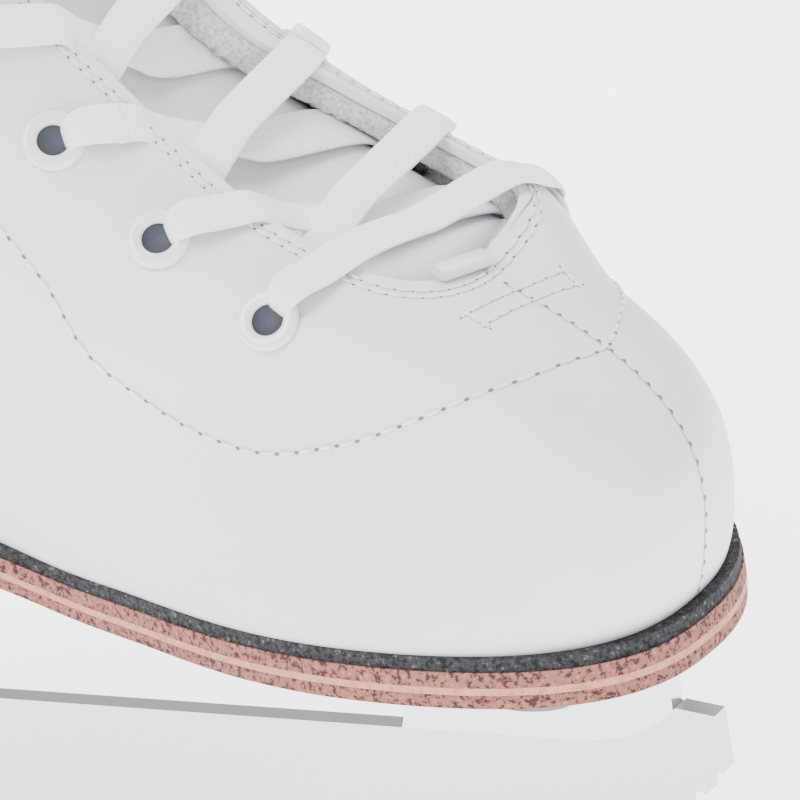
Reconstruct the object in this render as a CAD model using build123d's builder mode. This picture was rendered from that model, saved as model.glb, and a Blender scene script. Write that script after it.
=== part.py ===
from build123d import *
import math
import os
from bisect import bisect_left

# One lace-up figure skate for the left foot.  Millimetres, +X towards the toe, +Y to the wearer's
# left (outer side of the foot), +Z up.  The origin is on the ice line, under the arch of the boot.

# ---------------------------------------------------------------- driving sizes
BOOT_LENGTH = 256.0        # back of the heel bulge to the front of the toe
BALL_WIDTH = 89.0          # upper across the ball of the foot
COLLAR_Z = 286.0           # top of the boot at the front of the collar
ANKLE_Z = 170.0            # height where the shaft stations begin
SEAT_Z = 56.0              # feather line (top of the welt) under the ball
HEEL_RISE = 30.0           # how much higher the heel seat is than the ball

LEATHER = 1.6              # outer leather
STIFFENER = 1.2            # toe box, counter and interlining
LINING = 2.0
GLUE = 0.2                 # gap between bonded layers
LACE_ROOM = 2.6            # room under the flaps for the lace
TONGUE_LEATHER = 1.4
TONGUE_PAD = 3.0
BACKSTAY = 1.2

WELT = 2.3
SOLE_TOP = 2.6
SOLE_MID = 1.2
SOLE_BOTTOM = 2.4
WELT_OVERHANG = 0.8        # how far the welt stands out beyond the upper
INSOLE_BOARD = 2.4
FOOTBED = 3.2

HEEL_FRONT = -48.0         # breast of the heel
HEEL_LIFT = 6.0            # one leather heel lift
TOP_PIECE = 5.0
PLATE = 2.5                # sole and heel plates of the blade
RUNNER = 4.0               # blade thickness
ROCKER_R = 2134.0

EYELET_RIM_R = 5.15
EYELET_HOLE_R = 2.6
EYELET_WALL = 0.4
LACE_WIDTH = 7.4
LACE_THICK = 0.9
ROW_FIRST = 24.5           # first eyelet row, along the ridge behind the throat
ROW_PITCH = 22.5
EYELET_ROWS = 6
HOOK_ROWS = 4
EYELET_FROM_EDGE = 14.5    # eyelet centre behind the edge of the flap
LACE_SKEW = 16.0           # the first row sits this much nearer the toe on the outer side

THROAT_X = 94.0            # front end of the opening
SLOT_HALF_LOW = 14.5
SLOT_HALF_HIGH = 10.0

# ---------------------------------------------------------------- shape of the last
X_RATIO = BOOT_LENGTH / 256.0
Y_RATIO = BALL_WIDTH / 89.0
SHAFT = COLLAR_Z - ANKLE_Z
# height : front of the boot at that height
FRONT = [(50, 124), (54, 127.5), (60, 131), (66, 133), (74, 134.5), (82, 133.3), (89, 128.0),
         (95, 118.7), (100, 106.5), (105, 92.3), (110, 78.5), (118, 61), (128, 45), (140, 32),
         (155, 20)]
FRONT_SHAFT = [(0.0, 11.5), (0.17, 4.5), (0.4, 1.5), (0.62, 2.0), (0.83, 5.0), (1.05, 9.0), (1.3, 13.0)]
BACK = [(50, -116), (80, -121), (108, -121.5), (125, -119), (145, -112)]
BACK_SHAFT = [(0.0, -103), (0.2, -99), (0.5, -100), (0.8, -103), (1.3, -107)]
HALF_WIDTH = [(50, 45.5), (60, 44.5), (72, 42.0), (85, 38.5), (95, 36.5), (110, 36.0), (130, 36.0),
              (150, 36.0)]
HALF_WIDTH_SHAFT = [(0.0, 36.0), (0.3, 37.0), (0.6, 41.0), (0.85, 43.0), (1.3, 46.0)]
WIDEST = [(50, 48), (70, 45), (95, 32), (120, 2), (150, -40)]
WIDEST_SHAFT = [(0.0, -45), (1.3, -50)]
BLUNT_FRONT = 2.37         # superellipse exponents, front and back of each slice
BLUNT_BACK = 2.4
TOE_SWING = -19.0          # the toe end of the centre line swings to the inner side
SWING_START = 40.0
WAIST_IN = 22.0            # depth of the waist on the inner side
WAIST_OUT = 8.0
WAIST_X = 2.0
WAIST_SPAN = 44.0
WAIST_TOP = 104.0
WAIST_FADE = 46.0
POINTS = 9                 # points on each quarter of a slice


def smooth(t):
    t = min(max(t, 0.0), 1.0)
    return t * t * (3 - 2 * t)


def stations(low, shaft, ratio):
    """Join the low stations and the shaft's own stations into one list of (height, value)."""
    return [(z, v * ratio) for z, v in low] + [(ANKLE_Z + f * SHAFT, v * ratio) for f, v in shaft]


def hermite(table, at):
    """Smooth value of a station table at one height."""
    zs = [row[0] for row in table]
    vs = [row[1] for row in table]
    i = min(max(bisect_left(zs, at) - 1, 0), len(zs) - 2)

    def slope(k):
        if k == 0:
            return (vs[1] - vs[0]) / (zs[1] - zs[0])
        if k == len(zs) - 1:
            return (vs[-1] - vs[-2]) / (zs[-1] - zs[-2])
        a, b = zs[k] - zs[k - 1], zs[k + 1] - zs[k]
        return ((vs[k] - vs[k - 1]) / a * b + (vs[k + 1] - vs[k]) / b * a) / (a + b)

    h = zs[i + 1] - zs[i]
    t = (at - zs[i]) / h
    return (vs[i] * (1 + 2 * t) * (1 - t) ** 2 + slope(i) * h * t * (1 - t) ** 2
            + vs[i + 1] * t * t * (3 - 2 * t) + slope(i + 1) * h * t * t * (t - 1))


front_table = stations(FRONT, FRONT_SHAFT, X_RATIO)
back_table = stations(BACK, BACK_SHAFT, X_RATIO)
width_table = stations(HALF_WIDTH, HALF_WIDTH_SHAFT, Y_RATIO)
widest_table = stations(WIDEST, WIDEST_SHAFT, X_RATIO)


def axis_y(x):
    """Centre line of the boot seen from above."""
    t = max(x / X_RATIO - SWING_START, 0.0) / 90.0
    return TOE_SWING * min(t, 1.2) ** 2


def seat_z(x):
    """Height of the feather line along the boot."""
    return SEAT_Z + HEEL_RISE * smooth((20.0 * X_RATIO - x) / (85.0 * X_RATIO))


def ridge_line(table, depth, sign):
    """Front or back outline in the XZ plane, moved inwards by depth, as (height, x) pairs."""
    line = []
    z = 40.0
    while z < COLLAR_Z + 40.0:
        dx = (hermite(table, z + 0.5) - hermite(table, z - 0.5))
        size = math.hypot(dx, 1.0)
        line.append((z + sign * depth * dx / size, hermite(table, z) - sign * depth / size))
        z += 1.5
    line.sort()
    return line


ridge_cache = {}


def edge_x(z, depth, sign):
    """Front (sign 1) or back (sign -1) of the slice at height z, at a depth below the surface."""
    key = (round(depth, 3), sign)
    if key not in ridge_cache:
        ridge_cache[key] = ridge_line(front_table if sign > 0 else back_table, depth, sign)
    line = ridge_cache[key]
    i = min(max(bisect_left(line, (z, 0.0)), 1), len(line) - 1)
    (z0, x0), (z1, x1) = line[i - 1], line[i]
    return x0 + (x1 - x0) * (z - z0) / max(z1 - z0, 1e-9)


def slice_numbers(z, depth):
    front = edge_x(z, depth, 1)
    back = edge_x(z, depth, -1)
    widest = hermite(widest_table, z)
    widest = min(widest, front - 12.0)
    return front, back, widest, hermite(width_table, z) - depth


def half_width(x, z, side, depth=0.0, numbers=None):
    """Distance from the centre line to the surface at x and height z, on one side."""
    front, back, widest, full = numbers or slice_numbers(z, depth)
    if x > widest:
        t, power = (x - widest) / (front - widest), BLUNT_FRONT
    else:
        t, power = (widest - x) / (widest - back), BLUNT_BACK
    t = min(max(t, 0.0), 1.0)
    body = full * (1 - t ** power) ** (1 / power)
    waist = (WAIST_OUT if side > 0 else WAIST_IN) * Y_RATIO
    fade = smooth((WAIST_TOP - z) / WAIST_FADE)
    return body - waist * fade * math.exp(-((x / X_RATIO - WAIST_X) / WAIST_SPAN) ** 2) * (body / full)


def slice_outline(z, depth):
    """Closed outline of one horizontal slice, starting at the toe and going round by +Y."""
    numbers = slice_numbers(z, depth)
    front, back, widest, _ = numbers
    xs = [widest + (front - widest) * math.cos(math.pi / 2 * k / POINTS) for k in range(POINTS)]
    xs += [widest - (widest - back) * math.sin(math.pi / 2 * k / POINTS) for k in range(POINTS + 1)]
    left = [(x, axis_y(x) + half_width(x, z, 1, depth, numbers)) for x in xs]
    right = [(x, axis_y(x) - half_width(x, z, -1, depth, numbers)) for x in xs]
    return left + right[-2:0:-1]


LOFT_Z = [50, 58, 66, 74, 81, 87, 92, 96, 100, 104, 108, 113, 119, 126, 135, 146, 158]
LOFT_SHAFT = [0.02, 0.17, 0.36, 0.56, 0.76, 0.95, 1.12, 1.27]
loft_heights = [float(z) for z in LOFT_Z] + [ANKLE_Z + f * SHAFT for f in LOFT_SHAFT]


def outline_shares():
    """Share of the way round at which each outline point lies, as a mean over all the slices."""
    total = [0.0] * (4 * POINTS + 1)
    for z in loft_heights:
        points = [Vector(*p) for p in slice_outline(z, 0.0)]
        steps = [(b - a).length for a, b in zip(points, points[1:] + points[:1])]
        for k in range(len(total)):
            total[k] += sum(steps[:k]) / sum(steps) / len(loft_heights)
    return total


shares = outline_shares()


def level(depth):
    """Solid body of the whole boot shape, moved inwards by depth."""
    with BuildPart() as body:
        for z in loft_heights:
            with BuildSketch(Plane.XY.offset(z)):
                with BuildLine():
                    points = [Vector(*p) for p in slice_outline(z, depth)]
                    add(Edge.make_spline(points, periodic=True, parameters=shares))
                make_face()
        loft()
    return body.part


# ---------------------------------------------------------------- places on the surface
def inside(x, y, z):
    """Positive inside the outer surface, negative outside."""
    numbers = slice_numbers(z, 0.0)
    if x >= numbers[0] or x <= numbers[1]:
        return -1.0
    offset = y - axis_y(x)
    return half_width(x, z, 1 if offset > 0 else -1, 0.0, numbers) - abs(offset)


def ray_hit(start, direction, reach=70.0):
    """First point of the outer surface along a ray."""
    low = 0.0
    step = 1.0
    while low < reach and inside(*(start + direction * (low + step))) < 0:
        low += step
    high = low + step
    for _ in range(18):
        middle = (low + high) / 2
        if inside(*(start + direction * middle)) > 0:
            high = middle
        else:
            low = middle
    return start + direction * high


def outward(point):
    """Unit normal of the outer surface at a point."""
    h = 0.4
    grad = []
    for i in range(3):
        ahead = [point.X, point.Y, point.Z]
        behind = list(ahead)
        ahead[i] += h
        behind[i] -= h
        grad.append(inside_soft(*behind) - inside_soft(*ahead))
    return Vector(*grad).normalized()


def inside_soft(x, y, z):
    """Like inside(), carried on past the ends of a slice so that it has a slope there."""
    front, back, widest, full = slice_numbers(z, 0.0)
    offset = y - axis_y(x)
    side = 1 if offset > 0 else -1
    span, power = (front - widest, BLUNT_FRONT) if x > widest else (widest - back, BLUNT_BACK)
    wide = half_width(widest, z, side, 0.0, (front, back, widest, full))
    t = abs(x - widest) / span
    u = abs(offset) / wide
    return (1.0 - (t ** power + u ** power) ** (1 / power)) * wide


def ridge_table():
    """Points up the front ridge from the throat, as (arc length, x, z)."""
    rows = []
    z = 60.0
    length = 0.0
    last = None
    while z < COLLAR_Z + 30.0:
        x = hermite(front_table, z)
        if x <= THROAT_X and z > 90.0:
            if last:
                length += math.hypot(x - last[0], z - last[1])
            rows.append((length, x, z))
            last = (x, z)
        z += 0.25
    return rows


ridge_rows = ridge_table()


def ridge_at(arc):
    """Point, up direction and outward direction on the front ridge at an arc length."""
    i = min(max(bisect_left(ridge_rows, (arc, 0.0, 0.0)), 1), len(ridge_rows) - 2)
    _, x0, z0 = ridge_rows[i - 1]
    _, x1, z1 = ridge_rows[i + 1]
    _, x, z = ridge_rows[i]
    up = Vector(x1 - x0, 0, z1 - z0).normalized()
    return Vector(x, axis_y(x), z), up, Vector(up.Z, 0, -up.X)


def slot_half(x):
    """Half the width of the opening between the flaps."""
    blend = smooth((x / X_RATIO - 33.0) / 32.0)
    return SLOT_HALF_HIGH + (SLOT_HALF_LOW - SLOT_HALF_HIGH) * blend


def flap_point(arc, side, from_edge):
    """Point and normal on a flap, at an arc length and a distance outside its edge."""
    ridge, _, out = ridge_at(arc)
    start = ridge + Vector(0, side * (slot_half(ridge.X) + from_edge), 0) + out * 30.0
    point = ray_hit(start, out * -1)
    return point, outward(point)


eyelet_arcs = [ROW_FIRST + i * ROW_PITCH for i in range(EYELET_ROWS)]
hook_arcs = [eyelet_arcs[-1] + (i + 1) * ROW_PITCH * 0.95 for i in range(HOOK_ROWS)]
skewed_arcs = [arc - LACE_SKEW * (1 - i / EYELET_ROWS) for i, arc in enumerate(eyelet_arcs)]
eyelets = {1: [flap_point(arc, 1, EYELET_FROM_EDGE) for arc in skewed_arcs],
           -1: [flap_point(arc, -1, EYELET_FROM_EDGE) for arc in eyelet_arcs]}
hooks = {side: [flap_point(arc, side, EYELET_FROM_EDGE) for arc in hook_arcs] for side in (1, -1)}


# ---------------------------------------------------------------- cutting tools
def side_band(top, bottom):
    """Slab that follows the feather line, between two distances above it."""
    xs = [-150.0 + 10.0 * k for k in range(32)]
    upper = [(x, seat_z(x) + top) for x in xs]
    lower = [(x, seat_z(x) + bottom) for x in xs]
    with BuildPart() as band:
        with BuildSketch(Plane.XZ):
            with BuildLine():
                Spline(*upper)
                Spline(*lower)
                Line(upper[0], lower[0])
                Line(upper[-1], lower[-1])
            make_face()
        extrude(amount=80, both=True)
    return band.part


def profile_prism(points):
    """Prism through the whole width from an outline in the XZ plane."""
    with BuildPart() as prism:
        with BuildSketch(Plane.XZ):
            with BuildLine():
                Polyline(*points, close=True)
            make_face()
        extrude(amount=90, both=True)
    return prism.part


def half_space(side):
    """Everything on one side of the centre line."""
    xs = [-160.0 + 10.0 * k for k in range(34)]
    line = [(x, axis_y(x)) for x in xs]
    far = side * 90.0
    with BuildPart() as half:
        with BuildSketch(Plane.XY.offset(20)):
            with BuildLine():
                Spline(*line)
                Polyline(line[0], (line[0][0], far), (line[-1][0], far), line[-1])
            make_face()
        extrude(amount=340)
    return half.part


def throat_slot(extra=0.0):
    """The opening between the flaps, wider by extra on every side."""
    top = COLLAR_Z + 40.0
    xs = [THROAT_X - d for d in (3.0, 8.0, 14.0, 22.0, 30.0, 38.0, 48.0, 58.0, 68.0)]
    half = [slot_half(x) + extra for x in xs]
    half[0] = 0.66 * half[0]
    half[1] = 0.87 * half[1]
    half[2] = 0.97 * half[2]
    left = [(x, axis_y(x) + h) for x, h in zip(xs, half)]
    right = [(x, axis_y(x) - h) for x, h in zip(xs, half)]
    nose = (THROAT_X + extra, axis_y(THROAT_X))
    with BuildPart() as slot:
        with BuildSketch(Plane.XY.offset(88)):
            with BuildLine():
                Spline(*left[::-1], nose, *right)
                Line(right[-1], left[-1])
            make_face()
        extrude(amount=60)
        with BuildSketch(Plane.YZ.offset(-25)):
            with Locations((0, (top + 132.0) / 2)):
                Rectangle(2 * (SLOT_HALF_HIGH + extra), top - 132.0)
        extrude(amount=70)
    return slot.part


def collar_prism(drop=0.0):
    """Region below the top line of the collar."""
    top = COLLAR_Z - drop
    return profile_prism([(-170, 20), (170, 20), (170, top - 3), (20, top - 3), (-20, top), (-60, top),
                          (-84, top - 8), (-100, top - 14), (-170, top - 14)])


def box_between(low, high):
    """Plain box from its lowest and highest corners."""
    with BuildPart() as block:
        with Locations(tuple((low[i] + high[i]) / 2 for i in range(3))):
            Box(*[high[i] - low[i] for i in range(3)])
    return block.part


def pins(places, radius, low, high):
    """Cylinders along the surface normals, from a depth low to a height high."""
    with BuildPart() as group:
        for point, normal in places:
            with BuildSketch(Plane(origin=point + normal * low, z_dir=normal)):
                Circle(radius)
            extrude(amount=high - low)
    return group.part


# ---------------------------------------------------------------- levels through the wall
leather_in = LEATHER
stiff_out = leather_in + GLUE
stiff_in = stiff_out + STIFFENER
lining_out = stiff_in + GLUE
lining_in = lining_out + LINING
tongue_out = lining_in + LACE_ROOM
tongue_in = tongue_out + TONGUE_LEATHER
pad_out = tongue_in + GLUE
pad_in = pad_out + TONGUE_PAD
collar_in = lining_in + 1.4
COLLAR_BAND = 34.0         # height of the padded band at the top of the boot

body_0 = level(0.0)
body_leather = level(leather_in)
body_stiff_out = level(stiff_out)
body_stiff_in = level(stiff_in)
body_lining_out = level(lining_out)
body_lining_in = level(lining_in)
body_collar_in = level(collar_in)

slot = throat_slot()
above_seat = side_band(260.0, GLUE)
with BuildPart() as upright:
    add(above_seat)
    add(collar_prism(), mode=Mode.INTERSECT)
under_collar = upright.part
EYELET_BORE_R = EYELET_HOLE_R + EYELET_WALL + 0.1
HOOK_SHANK_R = 1.8
all_eyelets = eyelets[1] + eyelets[-1]
all_hooks = hooks[1] + hooks[-1]
eyelet_bores = pins(all_eyelets, EYELET_BORE_R, -lining_in - 3.0, 3.0)
hook_bores = pins(all_hooks, HOOK_SHANK_R + 0.1, -stiff_in - 0.1, 3.0)


def save(piece, name):
    """Label a finished piece and write it."""
    piece.label = name
    export_step(piece, f"parts/{name}.step")
    print(f"{name:24s} solids {len(piece.solids()):2d}  volume {piece.volume:10.0f}")


def shell(outer, inner, *regions, cuts=()):
    """Wall between two levels, kept inside the regions and cut by the tools."""
    with BuildPart() as wall:
        add(outer)
        for region in regions:
            add(region, mode=Mode.INTERSECT)
        add([inner, *cuts], mode=Mode.SUBTRACT)
    return wall.part


os.makedirs("parts", exist_ok=True)

# ---------------------------------------------------------------- upper
wall_cuts = (slot, eyelet_bores, hook_bores)
outer_wall = shell(body_0, body_leather, under_collar, cuts=wall_cuts)
for side, name in ((1, "upper_left_half"), (-1, "upper_right_half")):
    with BuildPart() as upper_half:
        add(outer_wall)
        add(half_space(side), mode=Mode.INTERSECT)
    save(upper_half.part, name)

TOE_BOX_BACK = 101.0
COUNTER_FRONT = -25.0
COUNTER_TOP = 142.0
collar_low = collar_prism(COLLAR_BAND)
with BuildPart() as low_part:
    add(above_seat)
    add(collar_prism(COLLAR_BAND + 0.3), mode=Mode.INTERSECT)
low_region = low_part.part
mid_wall = shell(body_stiff_out, body_stiff_in, above_seat, cuts=wall_cuts)
toe_region = box_between((TOE_BOX_BACK, -90, 40), (160, 90, 140))
counter_region = box_between((-160, -90, 40), (COUNTER_FRONT, 90, COUNTER_TOP))
with BuildPart() as toe_box:
    add(mid_wall)
    add(toe_region, mode=Mode.INTERSECT)
save(toe_box.part, "toe_box")
with BuildPart() as heel_counter:
    add(mid_wall)
    add(counter_region, mode=Mode.INTERSECT)
save(heel_counter.part, "heel_counter")
with BuildPart() as interlining:
    add(mid_wall)
    add(low_region, mode=Mode.INTERSECT)
    add(box_between((TOE_BOX_BACK - 0.3, -90, 40), (160, 90, 140)), mode=Mode.SUBTRACT)
    add(box_between((-160, -90, 40), (COUNTER_FRONT + 0.3, 90, COUNTER_TOP + 0.3)), mode=Mode.SUBTRACT)
save(interlining.part, "interlining")
lining = shell(body_lining_out, body_lining_in, low_region, cuts=wall_cuts)
save(lining, "lining")
with BuildPart() as collar_padding:
    add(body_stiff_out)
    add(body_collar_in, mode=Mode.SUBTRACT)
    add(collar_prism(0.4), mode=Mode.INTERSECT)
    add(collar_low, mode=Mode.SUBTRACT)
    add(slot, mode=Mode.SUBTRACT)
    add(hook_bores, mode=Mode.SUBTRACT)
save(collar_padding.part, "collar_padding")

STAY_HALF = 11.0
with BuildPart() as backstay:
    add(level(-BACKSTAY - GLUE))
    add(level(-GLUE), mode=Mode.SUBTRACT)
    add(box_between((-160, -STAY_HALF, SEAT_Z + HEEL_RISE + 0.5), (-60, STAY_HALF, COLLAR_Z - 14.5)),
        mode=Mode.INTERSECT)
save(backstay.part, "backstay")


# ---------------------------------------------------------------- tongue
def tongue_region():
    """Strip behind the front ridge that the tongue fills, from inside the vamp to above the collar."""
    front = []
    back = []
    for z in [96.0, 99.0, 103.0, 107.0, 112.0, 118.0, 126.0, 136.0, 148.0, 162.0, 180.0, 205.0, 235.0,
              265.0, COLLAR_Z + 36.0]:
        x = hermite(front_table, z)
        dx = hermite(front_table, z + 0.5) - hermite(front_table, z - 0.5)
        size = math.hypot(dx, 1.0)
        front.append((x + 4.0, z))
        back.append((x - 24.0 / size, z + 24.0 * dx / size))
    return profile_prism(front + back[::-1])


TONGUE_HALF = 27.0
TONGUE_TOP = COLLAR_Z + 26.0
TONGUE_FLEX_Z = COLLAR_Z + 4.0
FLEX_GAP = 1.5
tongue_strip = tongue_region()
with BuildPart() as tongue_limits:
    with BuildSketch(Plane.YZ.offset(-60)):
        with Locations((0, (TONGUE_TOP + 60.0) / 2)):
            RectangleRounded(2 * TONGUE_HALF, TONGUE_TOP - 60.0, 20.0)
    extrude(amount=165)
tongue_levels = {"tongue": (level(tongue_out), level(tongue_in)), "tongue_pad": (level(pad_out), level(pad_in))}
for name, (outer, inner) in tongue_levels.items():
    tongue_layer = shell(outer, inner, tongue_strip, tongue_limits.part)
    with BuildPart() as tongue_lower:
        add(tongue_layer)
        add(box_between((-90, -60, 20), (160, 60, TONGUE_FLEX_Z - FLEX_GAP)), mode=Mode.INTERSECT)
    save(tongue_lower.part, name + "_lower")
    with BuildPart() as tongue_upper:
        add(tongue_layer)
        add(box_between((-90, -60, TONGUE_FLEX_Z + FLEX_GAP), (160, 60, 400)), mode=Mode.INTERSECT)
    save(tongue_upper.part, name + "_flap")

# ---------------------------------------------------------------- insole and sole
with BuildPart() as insole_board:
    add(level(lining_in + GLUE))
    add(side_band(GLUE + INSOLE_BOARD, GLUE), mode=Mode.INTERSECT)
save(insole_board.part, "insole_board")
with BuildPart() as footbed:
    add(level(lining_in + 2 * GLUE))
    add(side_band(2 * GLUE + INSOLE_BOARD + FOOTBED, 2 * GLUE + INSOLE_BOARD), mode=Mode.INTERSECT)
save(footbed.part, "footbed")


def sole_outline(overhang):
    """Outline of the sole seen from above, standing out beyond the upper at the feather line."""
    front = edge_x(seat_z(120.0) + 3.0, 0.0, 1)
    back = edge_x(seat_z(-120.0) + 3.0, 0.0, -1)
    middle = (front + back) / 2
    count = 22
    left = []
    right = []
    for k in range(count + 1):
        x = middle + (front - middle) * math.cos(math.pi * k / count)
        z = seat_z(x) + 3.0
        numbers = slice_numbers(z, 0.0)
        left.append((x, axis_y(x) + (half_width(x, z, 1, 0.0, numbers) if 0 < k < count else 0.0)))
        right.append((x, axis_y(x) - (half_width(x, z, -1, 0.0, numbers) if 0 < k < count else 0.0)))
    ring = left + right[-2:0:-1]
    out = []
    for k, (x, y) in enumerate(ring):
        ahead = ring[(k + 1) % len(ring)]
        behind = ring[k - 1]
        tx, ty = ahead[0] - behind[0], ahead[1] - behind[1]
        size = math.hypot(tx, ty)
        out.append((x + overhang * ty / size, y - overhang * tx / size))
    return out


def sole_prism(overhang, low=0.0, high=120.0):
    with BuildPart() as prism:
        with BuildSketch(Plane.XY.offset(low)):
            with BuildLine():
                Spline(*sole_outline(overhang), periodic=True)
            make_face()
        extrude(amount=high - low)
    return prism.part


layers = (("welt", 0.0, WELT, WELT_OVERHANG), ("sole_top", WELT, SOLE_TOP, WELT_OVERHANG + 0.3),
          ("sole_mid", WELT + SOLE_TOP, SOLE_MID, WELT_OVERHANG + 0.3),
          ("sole_bottom", WELT + SOLE_TOP + SOLE_MID, SOLE_BOTTOM, WELT_OVERHANG))
SHANK = (-78.0, 12.0)      # x range of the steel shank
SHANK_HALF = 7.0
SHANK_THICK = 1.4
with BuildPart() as pocket:
    add(box_between((SHANK[0], -SHANK_HALF, 30), (SHANK[1], SHANK_HALF, 120)))
    add(side_band(-WELT + 1.0, -WELT - SHANK_THICK), mode=Mode.INTERSECT)
shank_pocket = pocket.part
for name, below, thick, overhang in layers:
    with BuildPart() as layer:
        add(sole_prism(overhang))
        add(side_band(-below, -below - thick), mode=Mode.INTERSECT)
        if name == "sole_top":
            add(shank_pocket, mode=Mode.SUBTRACT)
    save(layer.part, name)
with BuildPart() as shank:
    add(box_between((SHANK[0] + 0.2, -SHANK_HALF + 0.2, 30), (SHANK[1] - 0.2, SHANK_HALF - 0.2, 120)))
    add(side_band(-WELT - 0.1, -WELT - SHANK_THICK + 0.1), mode=Mode.INTERSECT)
save(shank.part, "shank")

# ---------------------------------------------------------------- heel
sole_depth = WELT + SOLE_TOP + SOLE_MID + SOLE_BOTTOM
sole_under = SEAT_Z - sole_depth
heel_under = seat_z(-120.0) - sole_depth
LIFTS = 3


def heel_block(inset, low, high):
    """One lift of the heel with its curved breast."""
    with BuildPart() as block:
        add(sole_prism(-inset, low, high))
        with BuildSketch(Plane.XY.offset(low)):
            with Locations((HEEL_FRONT + 200.0 + 0.4 * (heel_under - high), 0)):
                Rectangle(400, 200)
            with Locations((HEEL_FRONT + 0.4 * (heel_under - high), 0)):
                Ellipse(5.0, 60.0)
        extrude(amount=high - low, mode=Mode.SUBTRACT)
    return block.part


heel_base_low = heel_under - 8.0
with BuildPart() as heel_base:
    add(heel_block(1.0, heel_base_low, heel_under + 6.0))
    add(side_band(-sole_depth, -sole_depth - 60.0), mode=Mode.INTERSECT)
save(heel_base.part, "heel_base")
for k in range(LIFTS):
    high = heel_base_low - k * HEEL_LIFT
    save(heel_block(1.6 + 0.7 * k, high - HEEL_LIFT, high), f"heel_lift_{k + 1}")
piece_high = heel_base_low - LIFTS * HEEL_LIFT
plate_high = piece_high - TOP_PIECE
save(heel_block(1.6 + 0.7 * LIFTS, plate_high, piece_high), "heel_top_piece")

# ---------------------------------------------------------------- eyelets, hooks and throat tab
EYELET_RISE = 1.2
EYELET_SEAT = 0.35         # gap under the rim, because the leather curves away
EYELET_CLINCH_R = 4.0
CLINCH_DEPTH = lining_in + 0.45
HOOK_BASE_R = 4.4
HOOK_SHEET = 0.9
HOOK_WIDTH = 3.0
HOOK_HEIGHT = 4.6
HOOK_BACK = 4.0            # neck of the hook, towards the opening from the rivet


def surface_plane(point, normal, toward, lift=0.0):
    """Plane on the surface with its X axis along a given direction."""
    across = (toward - normal * toward.dot(normal)).normalized()
    return Plane(origin=point + normal * lift, x_dir=across, z_dir=normal)


def make_eyelets(places):
    """Rim with a rounded top, barrel and clinched inner flange at each place."""
    with BuildPart() as group:
        for point, normal in places:
            frame = surface_plane(point, normal, Vector(0, 1, 0))
            with BuildSketch(Plane(origin=frame.origin, x_dir=frame.x_dir, z_dir=frame.y_dir * -1)):
                with BuildLine():
                    Polyline((EYELET_HOLE_R, EYELET_SEAT + EYELET_RISE * 0.6),
                             (EYELET_HOLE_R, -CLINCH_DEPTH - 0.45), (EYELET_CLINCH_R, -CLINCH_DEPTH - 0.45),
                             (EYELET_CLINCH_R, -CLINCH_DEPTH), (EYELET_HOLE_R + EYELET_WALL, -CLINCH_DEPTH),
                             (EYELET_HOLE_R + EYELET_WALL, EYELET_SEAT), (EYELET_RIM_R, EYELET_SEAT))
                    Spline((EYELET_RIM_R, EYELET_SEAT), (EYELET_RIM_R - 0.7, EYELET_SEAT + EYELET_RISE * 0.85),
                           ((EYELET_RIM_R + EYELET_HOLE_R) / 2, EYELET_SEAT + EYELET_RISE),
                           (EYELET_HOLE_R, EYELET_SEAT + EYELET_RISE * 0.6))
                make_face()
            revolve(axis=Axis(point, normal))
    return group.part


def make_hooks(places, side):
    """Riveted base, neck on the side of the opening, and a hood that points outwards."""
    with BuildPart() as group:
        for point, normal in places:
            frame = surface_plane(point, normal, Vector(0, side, 0), EYELET_SEAT)
            with BuildSketch(frame):
                Circle(HOOK_BASE_R)
            extrude(amount=HOOK_SHEET)
            with BuildSketch(frame):
                Circle(HOOK_SHANK_R)
            extrude(amount=-EYELET_SEAT - stiff_in)
            with BuildSketch(Plane(origin=frame.origin, x_dir=frame.x_dir, z_dir=frame.y_dir * -1)):
                with BuildLine():
                    Polyline((0, 0), (-HOOK_BACK - HOOK_SHEET, 0), (-HOOK_BACK - HOOK_SHEET, HOOK_HEIGHT),
                             (2.6, HOOK_HEIGHT), (3.4, HOOK_HEIGHT - 0.8), (2.8, HOOK_HEIGHT - 1.3),
                             (2.2, HOOK_HEIGHT - HOOK_SHEET), (-HOOK_BACK, HOOK_HEIGHT - HOOK_SHEET),
                             (-HOOK_BACK, HOOK_SHEET), (0, HOOK_SHEET), close=True)
                make_face()
            extrude(amount=HOOK_WIDTH / 2, both=True)
    return group.part


for side, word in ((1, "left"), (-1, "right")):
    save(make_eyelets(eyelets[side]), f"eyelets_{word}")
    save(make_hooks(hooks[side], side), f"hooks_{word}")

TAB = (9.0, 7.0, 0.9)
tab_ridge, tab_up, tab_out = ridge_at(3.0)
with BuildPart() as throat_tab:
    with BuildSketch(Plane(origin=tab_ridge - tab_out * tongue_out + tab_out * 0.9, x_dir=(0, 1, 0), z_dir=tab_out)):
        RectangleRounded(TAB[0], TAB[1], 1.0)
    extrude(amount=TAB[2])
save(throat_tab.part, "throat_tab")

# ---------------------------------------------------------------- lace
LACE_UNDER = -(lining_in + 1.75)   # centre of the lace under a flap
LACE_OVER = 0.35 + LACE_THICK / 2 + 0.25
LACE_ON_RIM = EYELET_SEAT + EYELET_RISE + LACE_THICK / 2 + 0.15
LACE_IN_HOOK = EYELET_SEAT + HOOK_SHEET + LACE_THICK / 2 + 0.25
PLUG_R = 2.1
HOOK_PASS = 4.3            # lace passes this far beside the middle of a hook


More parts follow.
